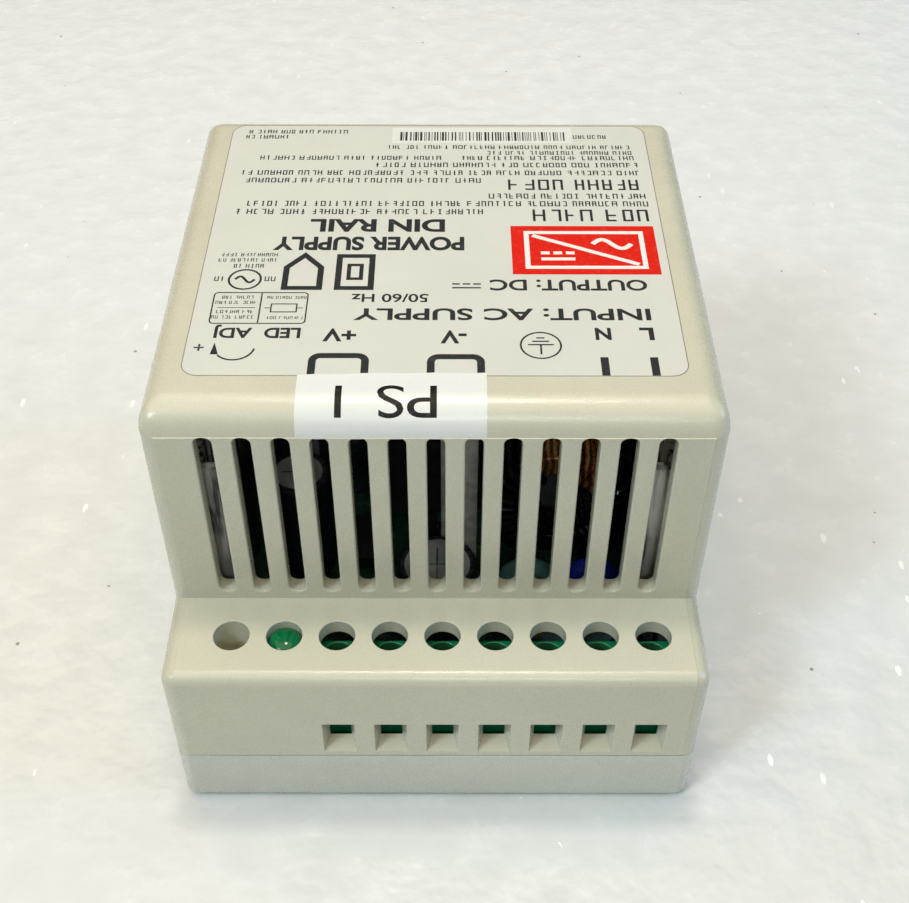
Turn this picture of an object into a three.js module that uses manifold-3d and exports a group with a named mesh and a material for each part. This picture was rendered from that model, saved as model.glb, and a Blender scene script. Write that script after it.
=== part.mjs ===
// A DIN rail power supply, lying on its rail side with the label face up.
// Millimetres. The origin is the middle of the bounding box's bottom face. +X is to the right
// when looking at the terminal face, +Y runs from the terminal face to the latch tab, +Z is up
// from the rail side to the label.
import * as THREE from "three";
import { mergeVertices } from "three/addons/utils/BufferGeometryUtils.js";
import Module from "manifold-3d";

const wasm = await Module();
wasm.setup();

// ---------------------------------------------------------------- driving dimensions

const gap = 0.3; // clearance between pieces that meet
const wall = 2.4; // housing wall thickness

// Housing
const width = 78;
const housingLength = 90; // terminal face to rear wall
const tabReach = 3; // latch tab beyond the rear wall
const height = 67;
const baseHeight = 11; // height of the seam between base and cover
const shelfTop = 30.25;
const shelfDepth = 14.8; // terminal face to vented wall
const shelfEdgeRadius = 1.5;
const lidRadius = 4; // lid's front and rear edges
const lidSideRadius = 3.5;
const cornerRadius = 2; // upright corners
const baseEdge = 0.8; // chamfer around the base's underside

const halfWidth = width / 2;
const front = -(housingLength + tabReach) / 2;
const rear = front + housingLength;
const tabEnd = rear + tabReach;
const ventFace = front + shelfDepth;
const insideX = halfWidth - wall;
const insideFront = front + wall;
const insideRear = rear - wall;

// Vents, the same in the front and rear walls
const ventCount = 13;
const ventPitch = 5.124;
const ventWidth = 2.45;
const ventOffset = 0.15; // middle vent from the centre plane
const ventBottom = 31.8;
const ventTop = 62.9;
const ventCorner = 1.1;

// Terminals: hole 0 is for the trimmer, hole 1 for the LED, holes 2 to 8 for the seven poles
const terminalPitch = 7.62;
const terminalMiddle = 0.97; // X of hole 4
const holeCount = 9;
const firstPole = 2;
const holeRadius = 2.6;
const holeY = front + 7.9;
const funnel = { halfWidth: 2.375, neckHalfWidth: 1.6, bottom: 12.4, neckBottom: 13.5, top: 19.35 };

// DIN rail interface, for a 35 mm top-hat rail
const railFront = front + 26.5; // rail edge under the fixed hook
const railWidth = 35;
const seatHeight = 6.5;
const lipHeight = 5.3; // top of the fixed hook
const channel = { front: railFront + 1.7, rear: railFront + railWidth + 0.3 };
const latchTip = railFront + railWidth - 1.5;
const latch = { halfWidth: 10.5, keelHalfWidth: 8.3, top: 5.1, ledge: 2.6, bottom: 0.5 };
const springSpace = { front: front + 68, rear: front + 84.3, halfWidth: 2.5 };
const rib = { front: front + 82.5, rear: front + 84 };

// Circuit board
const boardBottom = 8.8;
const boardTop = 10.4;
const boardHalfWidth = 34.6;
const partBottom = boardTop + gap; // underside of the parts on the board

// ---------------------------------------------------------------- solids

/** A closed three.js geometry as a solid that can be joined and cut. */
function solid(geometry) {
  const bare = geometry.clone();
  bare.deleteAttribute("normal");
  bare.deleteAttribute("uv");
  const merged = mergeVertices(bare);
  const mesh = new wasm.Mesh({
    numProp: 3,
    vertProperties: new Float32Array(merged.attributes.position.array),
    triVerts: new Uint32Array(merged.index.array),
  });
  mesh.merge();
  return new wasm.Manifold(mesh);
}

/** A box from its ranges along X, Y and Z. */
function box([x0, x1], [y0, y1], [z0, z1]) {
  const geometry = new THREE.BoxGeometry(x1 - x0, y1 - y0, z1 - z0);
  return solid(geometry.translate((x0 + x1) / 2, (y0 + y1) / 2, (z0 + z1) / 2));
}

/** A shape in X and Y, extruded along Z. */
function prismZ(shape, z0, z1, curveSegments = 5) {
  const geometry = new THREE.ExtrudeGeometry(shape, { depth: z1 - z0, bevelEnabled: false, curveSegments });
  return solid(geometry.translate(0, 0, z0));
}

/** A shape in Y and Z, extruded along X. */
function prismX(shape, x0, x1, curveSegments = 5) {
  const geometry = new THREE.ExtrudeGeometry(shape, { depth: x1 - x0, bevelEnabled: false, curveSegments });
  const turn = new THREE.Matrix4().makeBasis(
    new THREE.Vector3(0, 1, 0),
    new THREE.Vector3(0, 0, 1),
    new THREE.Vector3(1, 0, 0),
  );
  return solid(geometry.applyMatrix4(turn).translate(x0, 0, 0));
}

/** A shape in X and Z, extruded along Y. */
function prismY(shape, y0, y1, curveSegments = 5) {
  const geometry = new THREE.ExtrudeGeometry(shape, { depth: y1 - y0, bevelEnabled: false, curveSegments });
  return solid(geometry.rotateX(Math.PI / 2).translate(0, y1, 0));
}

/** An upright cylinder. */
function post(x, y, radius, z0, z1, sides = 20) {
  const geometry = new THREE.CylinderGeometry(radius, radius, z1 - z0, sides);
  return solid(geometry.rotateX(Math.PI / 2).translate(x, y, (z0 + z1) / 2));
}

/** A cylinder along Y. */
function disc(x, z, radius, y0, y1, sides = 24) {
  const geometry = new THREE.CylinderGeometry(radius, radius, y1 - y0, sides);
  return solid(geometry.translate(x, (y0 + y1) / 2, z));
}

/** An outline turned about the Z axis; each point is [radius, height]. */
function turned(outline, sides = 24) {
  const points = outline.map(([radius, z]) => new THREE.Vector2(radius, z));
  return solid(new THREE.LatheGeometry(points, sides).rotateX(Math.PI / 2));
}

function polygon(points) {
  return new THREE.Shape(points.map(([u, v]) => new THREE.Vector2(u, v)));
}

function roundedRectangle(u0, v0, u1, v1, radius) {
  const shape = new THREE.Shape();
  shape.moveTo(u0 + radius, v0);
  shape.lineTo(u1 - radius, v0);
  shape.absarc(u1 - radius, v0 + radius, radius, -Math.PI / 2, 0);
  shape.lineTo(u1, v1 - radius);
  shape.absarc(u1 - radius, v1 - radius, radius, 0, Math.PI / 2);
  shape.lineTo(u0 + radius, v1);
  shape.absarc(u0 + radius, v1 - radius, radius, Math.PI / 2, Math.PI);
  shape.lineTo(u0, v0 + radius);
  shape.absarc(u0 + radius, v0 + radius, radius, Math.PI, Math.PI * 1.5);
  return shape;
}

/** A rectangle whose upper two corners are rounded. */
function archedRectangle(u0, v0, u1, v1, leftRadius, rightRadius) {
  const shape = new THREE.Shape();
  shape.moveTo(u0, v0);
  shape.lineTo(u1, v0);
  if (rightRadius > 0) {
    shape.lineTo(u1, v1 - rightRadius);
    shape.absarc(u1 - rightRadius, v1 - rightRadius, rightRadius, 0, Math.PI / 2);
  } else {
    shape.lineTo(u1, v1);
  }
  shape.lineTo(u0 + leftRadius, v1);
  shape.absarc(u0 + leftRadius, v1 - leftRadius, leftRadius, Math.PI / 2, Math.PI);
  return shape;
}

const holeX = (index) => terminalMiddle + (index - (holeCount - 1) / 2) * terminalPitch;
const poleIndices = Array.from({ length: holeCount - firstPole }, (_, i) => i + firstPole);

// ---------------------------------------------------------------- materials

function material(color, roughness, metalness = 0) {
  return new THREE.MeshStandardMaterial({ color, roughness, metalness, flatShading: true });
}

const beige = () => material(0xd5d1b9, 0.5);
const coolBeige = () => material(0xc6cabd, 0.5);
const greenPlastic = () => material(0x1d7a42, 0.4);
const zincSteel = () => material(0xb9bcc0, 0.35, 0.9);
const tinnedBrass = () => material(0xc9b98a, 0.35, 0.9);
const aluminium = () => material(0xc4c6c8, 0.4, 0.95);
const ferrite = () => material(0x35373a, 0.6);
const copper = () => material(0xb5652e, 0.35, 0.8);
const blackPlastic = () => material(0x1c1d1f, 0.5);
const sleeve = () => material(0x20242c, 0.35);
const blueCoat = () => material(0x2a48c8, 0.35);

// ---------------------------------------------------------------- scene graph

const supply = new THREE.Group();

/** Adds one named sub-part. Its solid is in the parent's frame, moved to at. */
function add(name, body, look, parent = supply, at = [0, 0, 0]) {
  const { vertProperties, triVerts } = body.getMesh();
  const geometry = new THREE.BufferGeometry();
  geometry.setAttribute("position", new THREE.BufferAttribute(new Float32Array(vertProperties), 3));
  geometry.setIndex(new THREE.BufferAttribute(new Uint32Array(triVerts), 1));
  geometry.computeVertexNormals();
  const mesh = new THREE.Mesh(geometry, look);
  mesh.name = name;
  mesh.position.set(...at);
  parent.add(mesh);
}

// ---------------------------------------------------------------- housing cover

function ventSlots(y0, y1) {
  const slots = [];
  for (let i = 0; i < ventCount; i += 1) {
    const x = ventOffset + (i - (ventCount - 1) / 2) * ventPitch;
    const outline = roundedRectangle(x - ventWidth / 2, ventBottom, x + ventWidth / 2, ventTop, ventCorner);
    slots.push(prismY(outline, y0, y1, 2));
  }
  return wasm.Manifold.union(slots);
}

/** The flared wire entry of one pole: wide at the terminal face, narrow at the wall's inside. */
function wireEntry(x) {
  const mouth = [
    [-funnel.halfWidth, funnel.bottom],
    [funnel.halfWidth, funnel.bottom],
    [funnel.halfWidth, funnel.top],
    [-funnel.halfWidth, funnel.top],
  ];
  const neck = [
    [-funnel.neckHalfWidth, funnel.neckBottom],
    [funnel.neckHalfWidth, funnel.neckBottom],
    [funnel.neckHalfWidth, funnel.top],
    [-funnel.neckHalfWidth, funnel.top],
  ];
  const reach = 1; // the cut runs this far past each side of the wall
  const grow = (i) => mouth[i].map((value, axis) => value + ((value - neck[i][axis]) * reach) / wall);
  const outline = [];
  mouth.forEach((_, i) => outline.push([...grow(i), front - reach]));
  neck.forEach((point) => outline.push([...point, insideFront]));
  neck.forEach((point) => outline.push([...point, insideFront + reach]));
  const positions = outline.flatMap(([px, pz, py]) => [x + px, py, pz]);
  const faces = [0, 1, 2, 0, 2, 3, 8, 10, 9, 8, 11, 10];
  for (let ring = 0; ring < 8; ring += 4) {
    for (let i = 0; i < 4; i += 1) {
      const next = (i + 1) % 4;
      faces.push(ring + i, ring + 4 + i, ring + 4 + next, ring + i, ring + 4 + next, ring + next);
    }
  }
  const geometry = new THREE.BufferGeometry();
  geometry.setAttribute("position", new THREE.Float32BufferAttribute(positions, 3));
  geometry.setIndex(faces);
  return solid(geometry);
}

// Snap hooks on the base catch in windows in the cover's side walls.
const snapY = [front + 22, rear - 20];
const snapWindow = { halfLength: 3.5, bottom: 15, top: 17.6 };
const guideTube = { outerRadius: 3.6, bottom: 20 }; // guides a screwdriver to the trimmer

function housingCover() {
  const lowerPlan = prismZ(
    roundedRectangle(-halfWidth, front, halfWidth, rear, cornerRadius), baseHeight, shelfTop, 3);
  const lowerSide = prismX(
    archedRectangle(front, 0, rear, shelfTop, shelfEdgeRadius, 0), -width, width, 4);
  const upperPlan = prismZ(
    roundedRectangle(-halfWidth, ventFace, halfWidth, rear, cornerRadius), baseHeight, height, 3);
  const upperSide = prismX(
    archedRectangle(ventFace, 0, rear, height, lidRadius, lidRadius), -width, width, 6);
  const upperEnd = prismY(
    archedRectangle(-halfWidth, 0, halfWidth, height, lidSideRadius, lidSideRadius), front, tabEnd, 5);
  let cover = lowerPlan.intersect(lowerSide).add(upperPlan.intersect(upperSide).intersect(upperEnd));

  const shelfUnderside = shelfTop - wall;
  cover = cover
    .subtract(box([-insideX, insideX], [insideFront, insideRear], [baseHeight - 1, shelfUnderside]))
    .subtract(box([-insideX, insideX], [ventFace + wall, insideRear], [baseHeight - 1, height - wall]))
    .subtract(ventSlots(ventFace - 1, ventFace + wall + 1))
    .subtract(ventSlots(insideRear - 1, rear + 1))
    .add(post(holeX(0), holeY, guideTube.outerRadius, guideTube.bottom, shelfUnderside + 1, 18));
  for (let i = 0; i < holeCount; i += 1) {
    cover = cover.subtract(post(holeX(i), holeY, holeRadius, guideTube.bottom - 1, shelfTop + 1, 18));
  }
  for (const index of poleIndices) {
    cover = cover.subtract(wireEntry(holeX(index)));
  }
  for (const y of snapY) {
    const window = [y - snapWindow.halfLength, y + snapWindow.halfLength];
    cover = cover.subtract(box([-width, width], window, [snapWindow.bottom, snapWindow.top]));
  }
  return cover;
}

add("housing_cover", housingCover(), beige());

// ---------------------------------------------------------------- base

const screwBosses = [[-27, front + 18.5], [29, rear - 7]];
const boss = { radius: 3, bore: 1.3, boreBottom: 3.5 };

function snapHook(side, y) {
  const tongue = insideX - gap;
  const outline = [
    [tongue - 1.2, boardTop - wall],
    [tongue, boardTop - wall],
    [tongue, snapWindow.bottom + gap],
    [halfWidth - 0.8, snapWindow.bottom + gap],
    [halfWidth - 0.8, snapWindow.bottom + 0.9],
    [tongue, snapWindow.top - gap],
    [tongue, snapWindow.top + 0.6],
    [tongue - 1.2, snapWindow.top + 0.6],
  ];
  const hook = prismY(polygon(outline), y - snapWindow.halfLength + gap, y + snapWindow.halfLength - gap);
  const root = box([tongue - 1.2, insideX + 1], [y - 3, y + 3], [boardBottom - 1.5, baseHeight - 0.5]);
  const whole = hook.add(root);
  return side > 0 ? whole : whole.mirror([1, 0, 0]);
}

function baseHousing() {
  const plan = prismZ(
    roundedRectangle(-halfWidth, front, halfWidth, rear, cornerRadius), 0, baseHeight - 0.02, 3);
  const chamfered = (u0, u1) => polygon([
    [u0 + baseEdge, 0],
    [u1 - baseEdge, 0],
    [u1, baseEdge],
    [u1, baseHeight],
    [u0, baseHeight],
    [u0, baseEdge],
  ]);
  const acrossX = prismY(chamfered(-halfWidth, halfWidth), front, rear);
  const acrossY = prismX(chamfered(front, rear), -halfWidth, halfWidth);
  let base = plan.intersect(acrossX).intersect(acrossY);

  // Pocket for the circuit board, with deeper bays where the rail channel leaves room.
  const pocketFloor = boardBottom - 0.5;
  const bayFloor = 2;
  const bayX = latch.halfWidth + 3;
  base = base
    .subtract(box([-insideX, insideX], [insideFront, insideRear], [pocketFloor, baseHeight + 1]))
    .subtract(box([-insideX, insideX], [insideFront, railFront - 2.7], [bayFloor, baseHeight]))
    .subtract(box([bayX, insideX], [channel.rear + 2.5, insideRear], [bayFloor, baseHeight]))
    .subtract(box([-insideX, -bayX], [channel.rear + 2.5, insideRear], [bayFloor, baseHeight]));

  // Rail channel, undercut on the terminal side to make the fixed hook.
  base = base
    .subtract(box([-width, width], [channel.front, channel.rear], [-1, seatHeight]))
    .subtract(box([-width, width], [railFront - 0.2, channel.front + 1], [lipHeight, seatHeight]));

  // T-shaped groove for the latch, and the rib that its spring pushes on.
  const grooveX = latch.halfWidth + gap;
  const mouthX = latch.keelHalfWidth + gap;
  base = base
    .subtract(box([-grooveX, grooveX], [channel.rear - 1, tabEnd], [latch.ledge - gap, latch.top + gap]))
    .subtract(box([-mouthX, mouthX], [channel.rear - 1, tabEnd], [-1, latch.ledge]))
    .add(box([-2.2, 2.2], [rib.front, rib.rear], [latch.ledge + gap, latch.top + 1]));

  for (const [x, y] of screwBosses) {
    base = base
      .add(post(x, y, boss.radius, bayFloor - 1, boardBottom - gap, 18))
      .subtract(post(x, y, boss.bore, boss.boreBottom, baseHeight, 12));
  }
  for (const y of snapY) {
    base = base.add(snapHook(1, y)).add(snapHook(-1, y));
  }
  return base;
}

add("base_housing", baseHousing(), coolBeige());

// ---------------------------------------------------------------- rail latch and its spring

function dinLatch() {
  const tipChamfer = 1.2;
  const plate = prismX(polygon([
    [latchTip + tipChamfer, latch.ledge],
    [tabEnd, latch.ledge],
    [tabEnd, latch.top],
    [latchTip, latch.top],
    [latchTip, latch.ledge + tipChamfer],
  ]), -latch.halfWidth, latch.halfWidth);
  const keel = box(
    [-latch.keelHalfWidth, latch.keelHalfWidth],
    [channel.rear + 0.4, tabEnd],
    [latch.bottom, latch.ledge + 0.5],
  );
  const space = box(
    [-springSpace.halfWidth, springSpace.halfWidth],
    [springSpace.front, springSpace.rear],
    [latch.ledge, latch.top + 1],
  );
  const driverSlot = box([-3, 3], [rear + 0.9, rear + 2.1], [-1, latch.top + 1]);
  return plate.add(keel).subtract(space).subtract(driverSlot);
}

function latchSpring() {
  const wireRadius = 0.22;
  const coilRadius = 0.9;
  const turns = 6;
  const start = springSpace.front + gap + wireRadius;
  const end = rib.front - gap - wireRadius;
  class Helix extends THREE.Curve {
    getPoint(t, target = new THREE.Vector3()) {
      const angle = t * turns * 2 * Math.PI;
      const along = start + t * (end - start);
      return target.set(coilRadius * Math.cos(angle), along, coilRadius * Math.sin(angle));
    }
  }
  const section = new THREE.Shape();
  section.absarc(0, 0, wireRadius, 0, 2 * Math.PI);
  return solid(new THREE.ExtrudeGeometry(section, {
    steps: turns * 10,
    extrudePath: new Helix(),
    curveSegments: 5,
    bevelEnabled: false,
  }));
}

const springHeight = latch.ledge + 1.55;
add("din_latch", dinLatch(), blackPlastic());
add("latch_spring", latchSpring(), zincSteel(), supply, [0, 0, springHeight]);

// ---------------------------------------------------------------- label and sticker

const film = { gap: 0.03, thickness: 0.1 };
const label = { halfWidth: 34.1, front: front + 22.6, rear: front + 86, radius: 2.5 };
const sticker = { left: -18.3, right: 6.9, rear: label.front - 0.1, bottom: 62.8 };

function assetSticker() {
  const inner = film.gap;
  const outer = film.gap + film.thickness;
  const bendY = ventFace + lidRadius;
  const bendZ = height - lidRadius;
  const shape = new THREE.Shape();
  shape.moveTo(ventFace - inner, sticker.bottom);
  shape.lineTo(ventFace - inner, bendZ);
  shape.absarc(bendY, bendZ, lidRadius + inner, Math.PI, Math.PI / 2, true);
  shape.lineTo(sticker.rear, height + inner);
  shape.lineTo(sticker.rear, height + outer);
  shape.lineTo(bendY, height + outer);
  shape.absarc(bendY, bendZ, lidRadius + outer, Math.PI / 2, Math.PI, false);
  shape.lineTo(ventFace - outer, sticker.bottom);
  return prismX(shape, sticker.left, sticker.right, 6);
}

function ratingLabel() {
  const { halfWidth: half, radius } = label;
  const outline = roundedRectangle(-half, label.front, half, label.rear, radius);
  const bottom = height + film.gap;
  return prismZ(outline, bottom, bottom + film.thickness, 4);
}

add("rating_label", ratingLabel(), material(0xdedcd0, 0.45));
add("asset_sticker", assetSticker(), material(0xf2f2f0, 0.6));

// ---------------------------------------------------------------- terminal block

const block = {
  front: front + 3.8,
  rear: front + 13.5,
  neckRear: front + 10.7,
  top: 25.6,
  stepTop: 19.6,
};
const chamber = { halfWidth: 2.9, front: front + 4.8, rear: front + 10.3, bottom: 13.5, top: 21.6 };
const clamp = {
  halfWidth: 2.6,
  front: front + 5.1,
  rear: front + 10,
  bottom: 13.8,
  top: 19.5,
  plate: 0.8,
  side: 0.6,
};
const contact = {
  halfWidth: 1.6,
  front: front + 5,
  rear: front + 12,
  bottom: 17.8,
  thickness: 0.6,
  pinHalf: 0.6,
};
const screw = { shaftRadius: 1.3, shaftBottom: 18.8, headRadius: 2, headBottom: 22.5, headTop: 23.9 };
const wellRadius = 2.3;
const wellBottom = screw.headBottom - gap;
const contactTop = contact.bottom + contact.thickness;

function terminalBlock() {
  let body = prismX(polygon([
    [block.front, partBottom],
    [block.rear, partBottom],
    [block.rear, block.stepTop],
    [block.neckRear, block.stepTop + 2.8],
    [block.neckRear, block.top],
    [block.front, block.top],
  ]), holeX(firstPole) - terminalPitch / 2, holeX(holeCount - 1) + terminalPitch / 2);
  for (const index of poleIndices) {
    const x = holeX(index);
    const across = (half) => [x - half, x + half];
    const slotX = across(contact.halfWidth + gap);
    const chamberY = [chamber.front, chamber.rear];
    const entryY = [block.front - 1, chamber.front + 1];
    const entryZ = [clamp.bottom + 0.6, contact.bottom + 0.1];
    const barY = [chamber.rear - 1, contact.rear + gap];
    const barZ = [contact.bottom - gap, contactTop + gap];
    const legY = [contact.rear - contact.thickness - gap, contact.rear + gap];
    body = body
      .subtract(box(across(chamber.halfWidth), chamberY, [chamber.bottom, chamber.top]))
      .subtract(box(across(1.7), entryY, entryZ))
      .subtract(post(x, holeY, screw.shaftRadius + gap, chamber.top - 1, block.top, 14))
      .subtract(post(x, holeY, wellRadius, wellBottom, block.top + 1, 18))
      .subtract(box(slotX, barY, barZ))
      .subtract(box(slotX, legY, [partBottom - 1, contactTop + gap]));
  }
  return body;
}

/** A clamp screw about its own axis: a shank under a cheese head with a driver slot. */
function clampScrew() {
  const body = turned([
    [0, screw.shaftBottom],
    [screw.shaftRadius, screw.shaftBottom],
    [screw.shaftRadius, screw.headBottom],
    [screw.headRadius, screw.headBottom],
    [screw.headRadius, screw.headTop - 0.3],
    [screw.headRadius - 0.3, screw.headTop],
    [0, screw.headTop],
  ], 16);
  return body.subtract(box([-3, 3], [-0.35, 0.35], [screw.headTop - 0.7, screw.headTop + 1]));
}

/** A rising cage about its screw's axis, open at both ends for the wire and the contact bar. */
function wireClamp() {
  const along = [clamp.front - holeY, clamp.rear - holeY];
  const windowX = clamp.halfWidth - clamp.side;
  const windowZ = [clamp.bottom + clamp.plate, clamp.top - clamp.plate];
  return box([-clamp.halfWidth, clamp.halfWidth], along, [clamp.bottom, clamp.top])
    .subtract(box([-windowX, windowX], [along[0] - 1, along[1] + 1], windowZ))
    .subtract(post(0, 0, screw.shaftRadius + gap, clamp.top - 2, clamp.top + 1, 14));
}

/** A contact bar about its pole's screw axis: a flat bar, a leg and a solder pin. */
function contactBar() {
  const legY = [contact.rear - contact.thickness - holeY, contact.rear - holeY];
  const across = [-contact.halfWidth, contact.halfWidth];
  return box(across, [contact.front - holeY, legY[1]], [contact.bottom, contactTop])
    .add(box(across, legY, [partBottom + 0.4, contactTop]))
    .add(box([-contact.pinHalf, contact.pinHalf], legY, [boardBottom - 1.2, contactTop]));
}

add("terminal_block", terminalBlock(), greenPlastic());
for (const index of poleIndices) {
  const number = index - firstPole + 1;
  const pole = new THREE.Group();
  pole.position.set(holeX(index), holeY, 0);
  supply.add(pole);
  add(`terminal_screw_${number}`, clampScrew(), zincSteel(), pole);
  add(`wire_clamp_${number}`, wireClamp(), zincSteel(), pole);
  add(`terminal_contact_${number}`, contactBar(), tinnedBrass(), pole);
}

// ---------------------------------------------------------------- LED and trimmer

const led = { radius: 2.3, flangeRadius: 2.75, bottom: 20, flange: 1, domeTop: 29.9 };
const leadOffset = 1.27;
const leadHalf = 0.25;

function statusLed() {
  const dome = [];
  const shoulder = led.domeTop - led.radius;
  for (let i = 0; i <= 5; i += 1) {
    const angle = (i / 5) * (Math.PI / 2);
    dome.push([led.radius * Math.cos(angle), shoulder + led.radius * Math.sin(angle)]);
  }
  dome[5][0] = 0;
  return turned([
    [0, led.bottom],
    [led.flangeRadius, led.bottom],
    [led.flangeRadius, led.bottom + led.flange],
    [led.radius, led.bottom + led.flange],
    ...dome,
  ], 20);
}

function ledSpacer() {
  const hole = leadHalf + gap;
  let spacer = post(0, 0, 2.5, partBottom, led.bottom - gap, 18);
  for (const x of [-leadOffset, leadOffset]) {
    spacer = spacer.subtract(box([x - hole, x + hole], [-hole, hole], [partBottom - 1, led.bottom]));
  }
  return spacer;
}

const ledGroup = new THREE.Group();
ledGroup.position.set(holeX(1), holeY, 0);
supply.add(ledGroup);
add("status_led", statusLed(), material(0x1c9a58, 0.15), ledGroup);
add("led_spacer", ledSpacer(), blackPlastic(), ledGroup);
const lead = () => box([-leadHalf, leadHalf], [-leadHalf, leadHalf], [boardBottom - 1, led.bottom - gap]);
add("led_anode_lead", lead(), zincSteel(), ledGroup, [leadOffset, 0, 0]);
add("led_cathode_lead", lead(), zincSteel(), ledGroup, [-leadOffset, 0, 0]);

const trimmer = { half: 3.3, top: 16.2, rotorRadius: 2.2, rotorTop: 18.4, stemRadius: 0.9 };

const trimmerGroup = new THREE.Group();
trimmerGroup.position.set(holeX(0), holeY, 0);
supply.add(trimmerGroup);
const trimmerSide = [-trimmer.half, trimmer.half];
const trimmerBody = box(trimmerSide, trimmerSide, [partBottom, trimmer.top])
  .subtract(post(0, 0, trimmer.stemRadius + gap, trimmer.top - 2.2, trimmer.top + 1, 12));
const trimmerRotor = post(0, 0, trimmer.rotorRadius, trimmer.top + gap, trimmer.rotorTop, 18)
  .add(post(0, 0, trimmer.stemRadius, trimmer.top - 1.9, trimmer.top + 1, 12))
  .subtract(box([-3, 3], [-0.35, 0.35], [trimmer.rotorTop - 0.6, trimmer.rotorTop + 1]));
add("trimmer_body", trimmerBody, material(0x8a6f4a, 0.5), trimmerGroup);
add("trimmer_rotor", trimmerRotor, material(0xd8c9a4, 0.45), trimmerGroup);

// ---------------------------------------------------------------- circuit board

const boardRear = insideRear - 0.8;

function circuitBoard() {
  let board = box([-boardHalfWidth, boardHalfWidth], [front + 3, boardRear], [boardBottom, boardTop]);
  const drill = (xRange, yRange) => {
    board = board.subtract(box(xRange, yRange, [boardBottom - 1, boardTop + 1]));
  };
  for (const index of poleIndices) {
    const half = contact.pinHalf + gap;
    const pinY = [contact.rear - contact.thickness - gap, contact.rear + gap];
    drill([holeX(index) - half, holeX(index) + half], pinY);
  }
  for (const offset of [-leadOffset, leadOffset]) {
    const x = holeX(1) + offset;
    const half = leadHalf + gap;
    drill([x - half, x + half], [holeY - half, holeY + half]);
  }
  for (const [x, y] of screwBosses) {
    board = board.subtract(post(x, y, 1.5, boardBottom - 1, boardTop + 1, 12));
  }
  return board;
}

function boardScrew() {
  const body = turned([
    [0, 4.6],
    [1, 5.2],
    [1, partBottom],
    [2.5, partBottom],
    [2.5, partBottom + 1],
    [1.9, partBottom + 1.6],
    [0, partBottom + 1.6],
  ], 16);
  return body.subtract(box([-1.5, 1.5], [-0.3, 0.3], [partBottom + 0.9, partBottom + 2]));
}

add("circuit_board", circuitBoard(), material(0x2f6b45, 0.45));
add("board_screw_front", boardScrew(), zincSteel(), supply, [...screwBosses[0], 0]);
add("board_screw_rear", boardScrew(), zincSteel(), supply, [...screwBosses[1], 0]);

// ---------------------------------------------------------------- parts on the circuit board

/** Distance from the terminal face turned into a Y position. */
const at = (distance) => front + distance;

/** A coated disc standing on two wire legs, facing along Y. */
function discPart(x, distance, radius, thickness) {
  const half = thickness / 2;
  const middle = partBottom + 1.4 + radius;
  const legs = [-1, 1].map((side) => {
    const legX = x + side * radius * 0.5;
    return box([legX - 0.3, legX + 0.3], [at(distance) - 0.3, at(distance) + 0.3], [partBottom, middle]);
  });
  return disc(x, middle, radius, at(distance) - half, at(distance) + half, 20).add(legs[0]).add(legs[1]);
}

/** An upright electrolytic capacitor with a crimp groove near its foot. */
function canCapacitor(x, distance, radius, top) {
  return turned([
    [0, partBottom],
    [radius, partBottom],
    [radius, partBottom + 1.2],
    [radius - 0.4, partBottom + 1.8],
    [radius, partBottom + 2.4],
    [radius, top - 0.5],
    [radius - 0.5, top],
    [0, top],
  ], 20).translate([x, at(distance), 0]);
}

const heatsink = { inner: 32.8, outer: 34.3, front: 20, rear: 78, top: 52 };

/** A flat power package: a body on a thin tab, its face towards the heatsink at side * X. */
function powerPackage(side, distance) {
  const face = side * (heatsink.inner - gap);
  const span = (depth) => [face, face - side * depth].sort((a, b) => a - b);
  return box(span(4.3), [at(distance) - 5, at(distance) + 5], [13.5, 23])
    .add(box(span(1.3), [at(distance) - 5, at(distance) + 5], [13.5, 29]));
}

function heatsinkPlate(side) {
  const across = [side * heatsink.inner, side * heatsink.outer].sort((a, b) => a - b);
  const foot = [side * (heatsink.inner - 3), side * heatsink.outer].sort((a, b) => a - b);
  return box(across, [at(heatsink.front), at(heatsink.rear)], [partBottom, heatsink.top])
    .add(box(foot, [at(heatsink.rear - 5), at(heatsink.rear)], [partBottom, partBottom + 1.5]));
}

add("primary_heatsink", heatsinkPlate(1), aluminium());
add("secondary_heatsink", heatsinkPlate(-1), aluminium());
add("switch_transistor", powerPackage(1, 71), blackPlastic());
add("output_diode", powerPackage(-1, 59), blackPlastic());

// Common-mode line choke: an upright ring core with one winding on each side.
const choke = { coreOuter: 11.2, coreInner: 7.2, coreHalf: 3.2, wire: 1.6 };
const chokePlace = [19.6, at(41), 25.6];

/** A ring about the Y axis with a square section. */
function ring(inner, outer, half) {
  const geometry = new THREE.LatheGeometry([
    new THREE.Vector2(inner, -half),
    new THREE.Vector2(outer, -half),
    new THREE.Vector2(outer, half),
    new THREE.Vector2(inner, half),
    new THREE.Vector2(inner, -half),
  ], 28);
  return solid(geometry);
}

function chokeWinding(side) {
  const { coreInner, coreOuter, coreHalf, wire } = choke;
  const cover = ring(coreInner - wire, coreOuter + wire, coreHalf + wire);
  const hollow = ring(coreInner - gap, coreOuter + gap, coreHalf + gap);
  const divider = 1.6; // half the space between the two windings
  const sideRange = [side * divider, side * 30].sort((a, b) => a - b);
  return cover.subtract(hollow).intersect(box(sideRange, [-30, 30], [-30, 30]));
}

const chokeCore = ring(choke.coreInner, choke.coreOuter, choke.coreHalf);
add("line_choke_core", chokeCore, ferrite(), supply, chokePlace);
add("line_choke_winding_a", chokeWinding(-1), copper(), supply, chokePlace);
add("line_choke_winding_b", chokeWinding(1), copper(), supply, chokePlace);

// Transformer: a double-E core with its winding on the centre leg.
const core = {
  x0: -10.5,
  x1: 0.5,
  front: 49,
  rear: 77,
  bottom: 12,
  top: 36,
  limb: 5,
  legBottom: 21,
  legTop: 27,
};

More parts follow.
